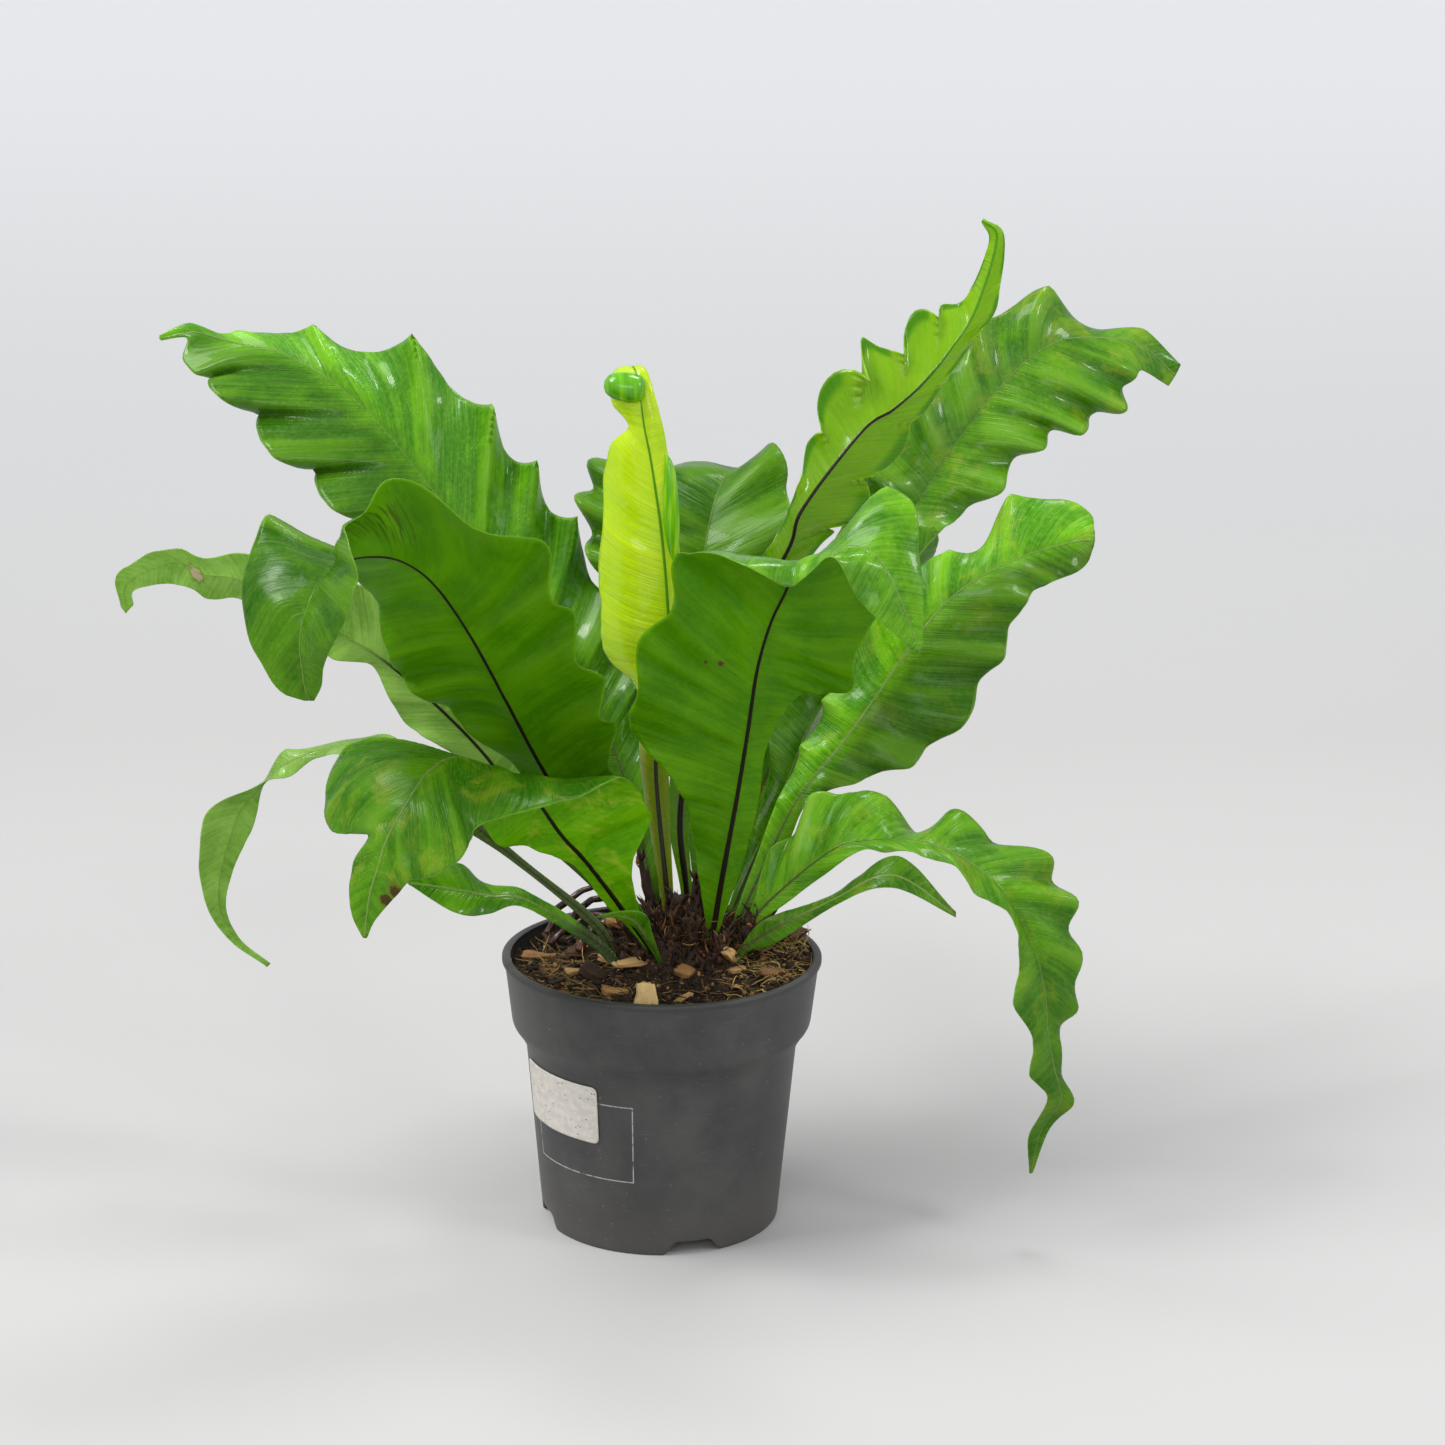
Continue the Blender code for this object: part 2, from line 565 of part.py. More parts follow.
def add_pot(collection, cutters):
    profile = [(0.0, FLOOR_TOP_Z), *pot_inner_wall(), *pot_outer_wall(), *pot_foot()]
    mesh = bpy.data.meshes.new("pot")
    points = [(radius * MM, 0.0, height * MM) for radius, height in profile]
    mesh.from_pydata(points, [(i, i + 1) for i in range(len(points) - 1)], [])
    mesh.materials.append(material(*PLASTIC))
    pot = bpy.data.objects.new("pot", mesh)
    collection.objects.link(pot)
    screw = pot.modifiers.new("turn", "SCREW")
    screw.axis = "Z"
    screw.steps = POT_STEPS
    screw.render_steps = POT_STEPS
    screw.use_merge_vertices = True
    screw.merge_threshold = 0.0001
    apply_modifiers(pot)
    for turn in NOTCH_TURNS:
        add_notch_cutter(turn, cutters)
    for i in range(DRAIN_COUNT):
        add_drain_cutter(2 * math.pi * i / DRAIN_COUNT, cutters)
    boolean(pot, "DIFFERENCE", cutters)
    pot.data.shade_smooth()
    return pot


def add_notch_cutter(turn, cutters):
    """A trapezoid that opens the skirt's foot, wide at the bottom."""
    low, high = -CUTTER_SPARE, NOTCH_HEIGHT
    wide, narrow = NOTCH_FOOT_WIDTH / 2, NOTCH_TOP_WIDTH / 2
    near, far = BASE_RADIUS - 3 * CUTTER_SPARE, BASE_RADIUS + 3 * CUTTER_SPARE
    points = []
    for x in (near, far):
        points += [(x, -wide, low), (x, wide, low), (x, narrow, high), (x, -narrow, high)]
    faces = [(0, 3, 2, 1), (4, 5, 6, 7), (0, 1, 5, 4), (1, 2, 6, 5), (2, 3, 7, 6), (3, 0, 4, 7)]
    cutter = mesh_object("notch_cutter", points, faces, cutters, smooth=False)
    cutter.rotation_euler.z = math.radians(turn)
    cutter.display_type = "WIRE"


def add_drain_cutter(turn, cutters):
    depth = (FLOOR_TOP_Z - FLOOR_Z + 2 * CUTTER_SPARE) * MM
    bpy.ops.mesh.primitive_cylinder_add(vertices=12, radius=DRAIN_RADIUS * MM, depth=depth)
    cutter = bpy.context.object
    cutter.name = "drain_cutter"
    middle = (FLOOR_Z + FLOOR_TOP_Z) / 2 * MM
    cutter.location = (DRAIN_CIRCLE * MM * math.cos(turn), DRAIN_CIRCLE * MM * math.sin(turn), middle)
    cutter.display_type = "WIRE"
    move_to(cutter, cutters)


def add_sticker(collection):
    """A blank paper label that follows the pot's taper, on the left of the front."""
    turns = np.radians(np.linspace(*STICKER_TURN, STICKER_COLUMNS + 1))
    points = []
    for out in (GAP, GAP + STICKER_THICK):
        for height in STICKER_Z:
            radius = outer_radius(height) + out
            points += [(radius * math.cos(a), radius * math.sin(a), height) for a in turns]
    n = len(turns)
    faces = []
    for i in range(n - 1):
        low_in, high_in, low_out, high_out = i, n + i, 2 * n + i, 3 * n + i
        faces += [(low_in, high_in, high_in + 1, low_in + 1), (low_out, low_out + 1, high_out + 1, high_out)]
        faces += [(low_in, low_in + 1, low_out + 1, low_out), (high_in, high_out, high_out + 1, high_in + 1)]
    faces += [(0, 2 * n, 3 * n, n), (n - 1, 2 * n - 1, 4 * n - 1, 3 * n - 1)]
    return mesh_object("sticker", points, faces, collection, PAPER)


def compost_height(x, y):
    """The compost's surface before its chips: a low heap with crumbs."""
    away = math.hypot(x - COMPOST_HEAP_CENTRE[0], y - COMPOST_HEAP_CENTRE[1])
    heap = COMPOST_HEAP * math.exp(-((away / COMPOST_HEAP_SPREAD) ** 2))
    crumbs = sum(
        height * noise.noise(Vector((x / size, y / size, layer))) for height, size, layer in CRUMBS
    )
    return COMPOST_EDGE_Z + heap + crumbs


def crown_height(x, y):
    """The crown's top: a dome with coarse lumps, low at its edge."""
    dx = (x - CROWN_CENTRE[0]) / CROWN_RADII[0]
    dy = (y - CROWN_CENTRE[1]) / CROWN_RADII[1]
    dome = CROWN_DOME * max(0.0, 1 - dx * dx - dy * dy) ** CROWN_BLUNTNESS
    lumps = CROWN_LUMP_HEIGHT * noise.noise(Vector((x / CROWN_LUMP_SIZE, y / CROWN_LUMP_SIZE, 21.0)))
    return CROWN_SIDE_Z + dome + lumps * min(1.0, dome / 4)


def inner_radius(height):
    wall = pot_inner_wall()
    return float(np.interp(height, [z for _, z in wall], [r for r, _ in wall]))


def disc_solid(name, rings, spokes, ring_point, height, side, collection, look):
    """A closed solid: a top raised by height(x, y) over rings of points, over a side of (scale, z) pairs."""
    centre_x, centre_y = ring_point(0.0, 0.0)
    flat = [(centre_x, centre_y)]
    for i in range(1, rings + 1):
        for j in range(spokes):
            turn = 2 * math.pi * (j + 0.5 * (i % 2)) / spokes
            flat.append(ring_point(i / rings, turn))
    points = [(x, y, height(x, y)) for x, y in flat]
    for scale, z in side:
        for j in range(spokes):
            turn = 2 * math.pi * (j + 0.5 * (rings % 2)) / spokes
            x, y = ring_point(1.0, turn)
            points.append((centre_x + (x - centre_x) * scale, centre_y + (y - centre_y) * scale, z))
    faces = [(0, 1 + j, 1 + (j + 1) % spokes) for j in range(spokes)]
    levels = rings + len(side)
    for i in range(1, levels):
        start, following = 1 + (i - 1) * spokes, 1 + i * spokes
        odd = i % 2 if i < rings else None
        for j in range(spokes):
            k = (j + 1) % spokes
            a, b, c, d = start + j, start + k, following + j, following + k
            faces += [(a, c, b), (b, c, d)] if odd != 1 else [(a, c, d), (a, d, b)]
    foot = 1 + (levels - 1) * spokes
    faces.append(tuple(foot + j for j in reversed(range(spokes))))
    return mesh_object(name, points, faces, collection, look)


def add_chip(collection, x, y, length, width, thick, turn, tilt, z):
    bpy.ops.mesh.primitive_cube_add(size=1)
    chip = bpy.context.object
    chip.name = "chip"
    chip.scale = (length * MM, width * MM, thick * MM)
    chip.rotation_euler = (math.radians(tilt), math.radians(tilt * 0.6), math.radians(turn))
    chip.location = (x * MM, y * MM, z * MM)
    move_to(chip, collection)


def add_compost(collection):
    """Fills the pot from its floor to just under its rim, with the chips fused in."""
    edge = inner_radius(COMPOST_EDGE_Z) - GAP - COMPOST_EASE

    def ring_point(share, turn):
        return edge * share * math.cos(turn), edge * share * math.sin(turn)

    ease = GAP + COMPOST_EASE
    side = [((inner_radius(z) - ease) / edge, z) for z in (BAND_FOOT_Z + 1, BAND_FOOT_Z - 4, SHOULDER_Z)]
    side.append(((inner_radius(FLOOR_TOP_Z) - ease) / edge, FLOOR_TOP_Z + GAP))
    compost = disc_solid(
        "compost", COMPOST_RINGS, COMPOST_SPOKES, ring_point, compost_height, side, collection, SOIL
    )
    chips = new_collection("chips_to_fuse", is_helper=True)
    for x, y, length, width, thick, turn, tilt in CHIPS:
        add_chip(chips, x, y, length, width, thick, turn, tilt, compost_height(x, y) + thick * CHIP_RISE)
    rng = random.Random(FILL_SEED)
    for _ in range(CHIP_SCATTER):
        turn, radius = rng.uniform(0, 2 * math.pi), rng.uniform(*CHIP_CIRCLES)
        x, y = radius * math.cos(turn), radius * math.sin(turn)
        size = rng.uniform(*CHIP_LENGTHS)
        add_chip(
            chips, x, y, size, size * rng.uniform(*CHIP_WIDTHS), CHIP_THICK, rng.uniform(0, 180),
            rng.uniform(-CHIP_TILT, CHIP_TILT), compost_height(x, y) + CHIP_THICK * CHIP_RISE,
        )
    boolean(compost, "UNION", chips)
    drop_collection(chips)
    return compost


def crown_point(grow, share, turn):
    x = CROWN_CENTRE[0] + (CROWN_RADII[0] + grow) * share * math.cos(turn)
    y = CROWN_CENTRE[1] + (CROWN_RADII[1] + grow) * share * math.sin(turn)
    return x, y


def add_crown(collection, compost):
    """The brown scaly crown, in a plain hole in the compost."""
    foot = [(1.0, CROWN_FOOT_Z)]
    crown = disc_solid(
        "crown", CROWN_RINGS, CROWN_SPOKES, lambda share, turn: crown_point(0.0, share, turn),
        crown_height, foot, collection, SCALES,
    )
    helpers = new_collection("crown_hole", is_helper=True)
    hole = disc_solid(
        "crown_hole_cutter", 1, CROWN_SPOKES, lambda share, turn: crown_point(2 * GAP, share, turn),
        lambda x, y: CROWN_SIDE_Z + CROWN_DOME, [(1.0, CROWN_FOOT_Z - GAP)], helpers, None,
    )
    boolean(compost, "DIFFERENCE", hole)
    drop_collection(helpers)
    return crown


def add_crown_scales(crown):
    """Pointed scales that stand out of the crown between the stems, fused to it."""
    scales = new_collection("scales_to_fuse", is_helper=True)
    rng = random.Random(FILL_SEED + 1)
    feet = [np.array(frond["stations"][0][0][:2], float) for frond in FRONDS.values()]
    made = 0
    while made < SCALE_COUNT:
        share, turn = rng.uniform(*SCALE_SHARES), rng.uniform(0, 2 * math.pi)
        x, y = crown_point(0.0, share, turn)
        if min(np.hypot(*(foot - (x, y))) for foot in feet) < SCALE_CLEARANCE:
            continue
        made += 1
        height = rng.uniform(*SCALE_HEIGHTS)
        bpy.ops.mesh.primitive_cone_add(vertices=4, radius1=SCALE_RADIUS * MM, depth=height * MM)
        scale = bpy.context.object
        scale.name = "scale"
        lean = SCALE_LEAN * share
        scale.rotation_euler = (-lean * math.sin(turn), lean * math.cos(turn), rng.uniform(0, 1.5))
        scale.location = (x * MM, y * MM, (crown_height(x, y) + height * 0.2) * MM)
        move_to(scale, scales)
    boolean(crown, "UNION", scales)
    drop_collection(scales)


def cut_stem_holes(solids):
    """One plain round hole for each frond's foot, along the way that its stem leaves."""
    holes = new_collection("stem_holes", is_helper=True)
    for name, frond in FRONDS.items():
        foot = Vector(frond["stations"][0][0])
        way = (Vector(frond["stations"][1][0]) - foot).normalized()
        radius = max(Vector(margin).length for margin in frond["stations"][0][1:]) + STEM_HOLE_EASE
        mouth = radius + STEM_HOLE_FLARE
        bpy.ops.mesh.primitive_cone_add(
            vertices=12, radius1=radius * MM, radius2=mouth * MM, depth=STEM_HOLE_LENGTH * MM
        )
        hole = bpy.context.object
        hole.name = name + "_hole"
        middle = (foot + way * (STEM_HOLE_LENGTH / 2 - STEM_HOLE_SINK)) * MM
        turn = way.to_track_quat("Z", "Y").to_matrix().to_4x4()
        hole.matrix_world = Matrix.Translation(middle) @ turn
        hole.display_type = "WIRE"
        move_to(hole, holes)
    for solid in solids:
        boolean(solid, "DIFFERENCE", holes)
    drop_collection(holes)


def unit(vectors):
    return vectors / np.maximum(np.linalg.norm(vectors, axis=-1, keepdims=True), 1e-9)


def spline(points, places):
    """A Catmull-Rom curve through the points, read at places that count the points from 0."""
    points = np.asarray(points, float)
    last = len(points) - 1
    i = np.minimum(places.astype(int), last - 1)
    f = (places - i)[:, None]
    here, there = points[i], points[i + 1]
    before = np.where(i[:, None] > 0, points[np.maximum(i - 1, 0)], 2 * points[0] - points[1])
    after = np.where(
        i[:, None] + 2 <= last, points[np.minimum(i + 2, last)], 2 * points[last] - points[last - 1]
    )
    return 0.5 * (
        2 * here
        + (there - before) * f
        + (2 * before - 5 * here + 4 * there - after) * f**2
        + (3 * here - before - 3 * there + after) * f**3
    )


def places_along(midrib):
    """Fine places along the midrib, and how far along it each lies in mm."""
    fine = np.linspace(0, len(midrib) - 1, 24 * len(midrib))
    path = spline(midrib, fine)
    run = np.concatenate([[0], np.cumsum(np.linalg.norm(np.diff(path, axis=0), axis=1))])
    return fine, run


def wave_marks(frond, side):
    """Where a margin's crests and troughs lie along the midrib, in turn, from a crest to a crest."""
    key = "left" if side < 0 else "right"
    crests, valley = frond[key + "_crests"], frond.get(key + "_valley", 0.5)
    pitch = (crests[-1] - crests[0]) / (len(crests) - 1)
    tops = np.array([crests[0] - 2 * pitch, crests[0] - pitch, *crests, crests[-1] + pitch])
    marks = np.empty(2 * len(tops) - 1)
    marks[0::2] = tops
    marks[1::2] = tops[:-1] + valley * np.diff(tops)
    return marks


def wave_shape(along, frond, side):
    """A margin's waves: 1 on its crests and -1 in its troughs."""
    marks = wave_marks(frond, side)
    turn = math.pi * np.interp(along, marks, np.arange(len(marks)) / 2)
    edge = frond.get("left_edge" if side < 0 else "right_edge", "waves")
    if edge == "points":
        return 1 - 2 * np.abs(np.sin(turn)) ** 0.8
    if edge == "lobes":
        return 2 * np.abs(np.cos(turn)) ** 0.6 - 1
    return np.cos(2 * turn)


def rows_along(total, frond):
    """Where the rows of points go: on crests and troughs, and evenly between."""
    wanted = []
    for side, key in ((-1, "left_crests"), (1, "right_crests")):
        wanted += [mark for mark in wave_marks(frond, side) if frond[key][0] <= mark <= frond[key][-1]]
    rows = [0.0]
    for along in sorted(w for w in wanted if w < total - ROW_GAP_LEAST) + [total]:
        if along - rows[-1] < ROW_GAP_LEAST and along < total:
            continue
        steps = math.ceil((along - rows[-1]) / frond.get("row_gap", ROW_GAP_MOST))
        start = rows[-1]
        rows += [start + (along - start) * (k + 1) / steps for k in range(steps)]
    return np.array(rows)


def blade_points(frond, rows, columns):
    """The blade's middle surface as a grid of points in mm, with its upper side's direction on each row."""
    midrib, left, right = ([station[k] for station in frond["stations"]] for k in range(3))
    fine, run = places_along(midrib)
    total = run[-1]
    places = np.interp(rows, run, fine)
    midrib, left, right = spline(midrib, places), spline(left, places), spline(right, places)
    forward = unit(np.gradient(midrib, rows, axis=0))
    upper = unit(np.cross(forward, unit(left) - unit(right)))
    scallop, slant = frond.get("scallop", SCALLOP), frond.get("slant", VEIN_SLANT)
    points = np.empty((len(rows), len(columns), 3))
    for k, column in enumerate(columns):
        share, side = abs(column), -1 if column < 0 else 1
        reach = left if side < 0 else right
        width = np.linalg.norm(reach, axis=1)
        out = unit(np.cross(forward, -side * reach))
        crest = wave_shape(rows + (1 - share) * slant * width, frond, side)
        fade = np.clip(width / FULL_WAVE_WIDTH, 0, 1) * np.clip((total - rows) / TIP_FADE, TIP_WAVE, 1)
        lift = BULGE * width * math.sin(math.pi * share) + frond["wave"] * fade * crest * share**WAVE_POWER
        spread = share * (1 + scallop * crest * fade * share)
        points[:, k] = midrib + reach * spread[:, None] + out * lift[:, None]
    return points, upper, total


def surface_normals(points, upper):
    along = np.gradient(points, axis=0)
    across = np.gradient(points, axis=1)
    normals = unit(np.cross(along, across))
    facing = np.sign((normals * upper[:, None]).sum())
    return normals * facing


def blade_solid(points, normals, rows, total):
    """Closes the blade: two faces with the same triangles, a rim, and a keel under the midrib."""
    taper = np.exp(-rows / STEM_TAPER)
    half = 0.5 * (BLADE_THICK + (STEM_THICK - BLADE_THICK) * taper)[:, None, None]
    top = points + normals * half
    low = points - normals * half
    middle = points.shape[1] // 2
    keel = KEEL_HEIGHT * np.clip(1 - rows / total, 0.1, 1)
    low[:, middle] -= normals[:, middle] * keel[:, None]
    n, m = points.shape[:2]
    grid = np.arange(n * m).reshape(n, m)
    a, b, c, d = grid[:-1, :-1], grid[1:, :-1], grid[1:, 1:], grid[:-1, 1:]
    quads = np.stack([a, b, c, d], -1).reshape(-1, 4)
    upper_faces = np.concatenate([quads[:, [0, 1, 2]], quads[:, [0, 2, 3]]])
    lower_faces = upper_faces[:, ::-1] + n * m
    border = np.concatenate([grid[0], grid[1:, -1], grid[-1, -2::-1], grid[-2:0:-1, 0]])
    after = np.roll(border, -1)
    rim = np.concatenate(
        [np.stack([border, after, after + n * m], 1), np.stack([border, after + n * m, border + n * m], 1)]
    )
    solid_points = np.concatenate([top.reshape(-1, 3), low.reshape(-1, 3)])
    faces = np.concatenate([upper_faces, lower_faces, rim])
    corners = solid_points[faces]
    volume = np.einsum("ij,ij->", corners[:, 0], np.cross(corners[:, 1], corners[:, 2]))
    return solid_points, faces if volume > 0 else faces[:, ::-1]


def add_frond(name, frond, collection):
    columns = SLIM_COLUMNS if frond.get("slim") else WIDE_COLUMNS
    _, run = places_along([station[0] for station in frond["stations"]])
    rows = rows_along(run[-1], frond)
    points, upper, total = blade_points(frond, rows, columns)
    normals = surface_normals(points, upper)
    solid_points, faces = blade_solid(points, normals, rows, total)
    return mesh_object(name, solid_points, faces, collection, YOUNG_LEAF if frond.get("young") else LEAF)


def build():
    clear_scene()
    plant = new_collection("birds_nest_fern")
    cutters = new_collection("pot_cutters", is_helper=True)
    add_pot(plant, cutters)
    drop_collection(cutters)
    add_sticker(plant)
    compost = add_compost(plant)
    crown = add_crown(plant, compost)
    add_crown_scales(crown)
    cut_stem_holes((crown, compost))
    for name, frond in FRONDS.items():
        add_frond(name, frond, plant)


build()
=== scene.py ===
"""Looks of the potted bird's nest fern: fine fronds, crown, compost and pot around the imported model."""

import math
import random

import bmesh
import bpy
import numpy as np
from mathutils import Matrix, Vector, noise


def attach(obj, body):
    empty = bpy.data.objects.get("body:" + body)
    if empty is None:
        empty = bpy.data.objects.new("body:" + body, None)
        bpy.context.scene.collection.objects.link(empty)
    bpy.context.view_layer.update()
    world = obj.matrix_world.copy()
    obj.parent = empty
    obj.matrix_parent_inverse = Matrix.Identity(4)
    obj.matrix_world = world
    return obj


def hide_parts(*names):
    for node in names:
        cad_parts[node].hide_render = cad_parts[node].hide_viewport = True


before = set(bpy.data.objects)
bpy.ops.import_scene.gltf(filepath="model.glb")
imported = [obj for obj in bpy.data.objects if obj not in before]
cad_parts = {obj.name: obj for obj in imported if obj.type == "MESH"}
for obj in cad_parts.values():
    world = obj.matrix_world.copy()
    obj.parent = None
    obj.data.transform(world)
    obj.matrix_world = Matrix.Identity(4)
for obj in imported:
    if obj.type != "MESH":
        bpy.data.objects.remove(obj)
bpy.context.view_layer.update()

MM = 0.001

# The camera stands where the photograph was taken from: metres and degrees.
CAMERA_BACK = 1.621
CAMERA_HEIGHT = 0.701
CAMERA_PITCH = 14.8
CAMERA_YAW = 1.085
CAMERA_ROLL = 0.69
LENS_MM = 80.0
SENSOR_MM = 36.0

# The studio: the floor's size and height and the soft boxes' aim are in metres.
FLOOR_RADIUS = 30.0
FLOOR_HEIGHT = -0.0002
PANEL_AIM = (0, 0, 0.3)
SKY_COLOUR = (0.98, 0.985, 1.0, 1.0)
SKY_STRENGTH = 0.62

# Pot, mm, as in the model's source.
POT_HEIGHT = 146.0
RIM_RADIUS = 85.0
LIP_HEIGHT = 3.2
BAND_TOP_RADIUS = 83.6
BAND_FOOT_RADIUS = 79.8
BAND_FOOT_Z = 111.0
SHOULDER_RADIUS = 72.2
SHOULDER_Z = 97.5
BASE_RADIUS = 63.5
WALL = 1.8
FLOOR_Z = 8.0
FLOOR_TOP_Z = 10.0
FOOT_PAD_RADIUS = 16.0
NOTCH_FOOT_WIDTH = 29.0
NOTCH_TOP_WIDTH = 20.0
NOTCH_HEIGHT = 7.0
NOTCH_TURNS = (-74, 16, 106, 196)
NOTCH_ROOM = 4.0
DRAIN_COUNT = 8
DRAIN_RADIUS = 4.5
DRAIN_CIRCLE = 42.0

# How finely the pot is turned, the angle in degrees from which its edges look sharp, and how close two
# points are welded, in metres.
POT_STEPS = 180
SHARP_ANGLE = 38
WELD_REACH = 0.00002

# The label and the printed frame: heights in mm and turns round the pot in degrees. The label's skins lie
# so far off the wall, in mm, the outer one first. The frame's line is so wide across and so high.
STICKER_Z = (61.5, 93.5)
STICKER_TURN = (-165.0, -117.5)
STICKER_CORNER = 3.0
STICKER_STEPS = (60, 36)
STICKER_SKINS = (0.8, 0.35)
PRINT_Z = (41.5, 84.8)
PRINT_TURN = (-158.0, -101.8)
PRINT_LINE = (0.45, 0.55)

# Compost and crown, mm, as in the model's source.
COMPOST_EDGE_Z = 137.0
COMPOST_HEAP = 6.0
COMPOST_HEAP_CENTRE = (22.0, 18.0)
COMPOST_HEAP_REACH = 48.0
CROWN_CENTRE = (13.0, 12.0)
CROWN_RADII = (41.0, 31.0)
CROWN_SIDE_Z = 140.0
CROWN_FOOT_Z = 126.5
CROWN_DOME = 26.0

# What lies on them, mm and counts. The fibrous mat rises at the right. A stem base thicker than THICK_STUB
# carries more torn scales than a thin one.
MAT_CENTRE = (66.0, 16.0)
MAT_REACH = (20.0, 38.0)
MAT_RISE = 9.0
COMPOST_SPREAD = 77.0
INSIDE_RADIUS = 80.0
CRUMB_COUNT = 2600
CHIP_SCATTER = 90
FIBRE_COUNT = 1900
SCALE_COUNT = 900
THICK_STUB = 3.0
THICK_SHAG = 45
THIN_SHAG = 5
LOOP_STEPS = 40

# Blades, mm. A blade's rows lie ROW_STEP apart. It waves fully where its half width is FULL_WAVE_WIDTH or
# more, and calms down over the last TIP_CALM before its tip.
BLADE_THICK = 0.7
STEM_THICK = 2.8
STEM_FADE = 30.0
KEEL_HEIGHT = 1.7
KEEL_TIP_WIDTH = 0.55
KEEL_FOOT_WIDTH = 1.35
KEEL_FADE = 95.0
ROW_STEP = 2.2
FULL_WAVE_WIDTH = 34.0
TIP_CALM = 50.0
PLEAT_STEP = 8.0
RIPPLE_STEP = 3.6
RIPPLE_HEIGHT = 0.3
NICK_DEPTH = 0.9

# What a blade has where its own entry doesn't say otherwise. The entries are explained below.
BULGE = 0.05
PLEAT = 2.6
SCALLOP = 0.06
VEIN_SLANT = 0.55

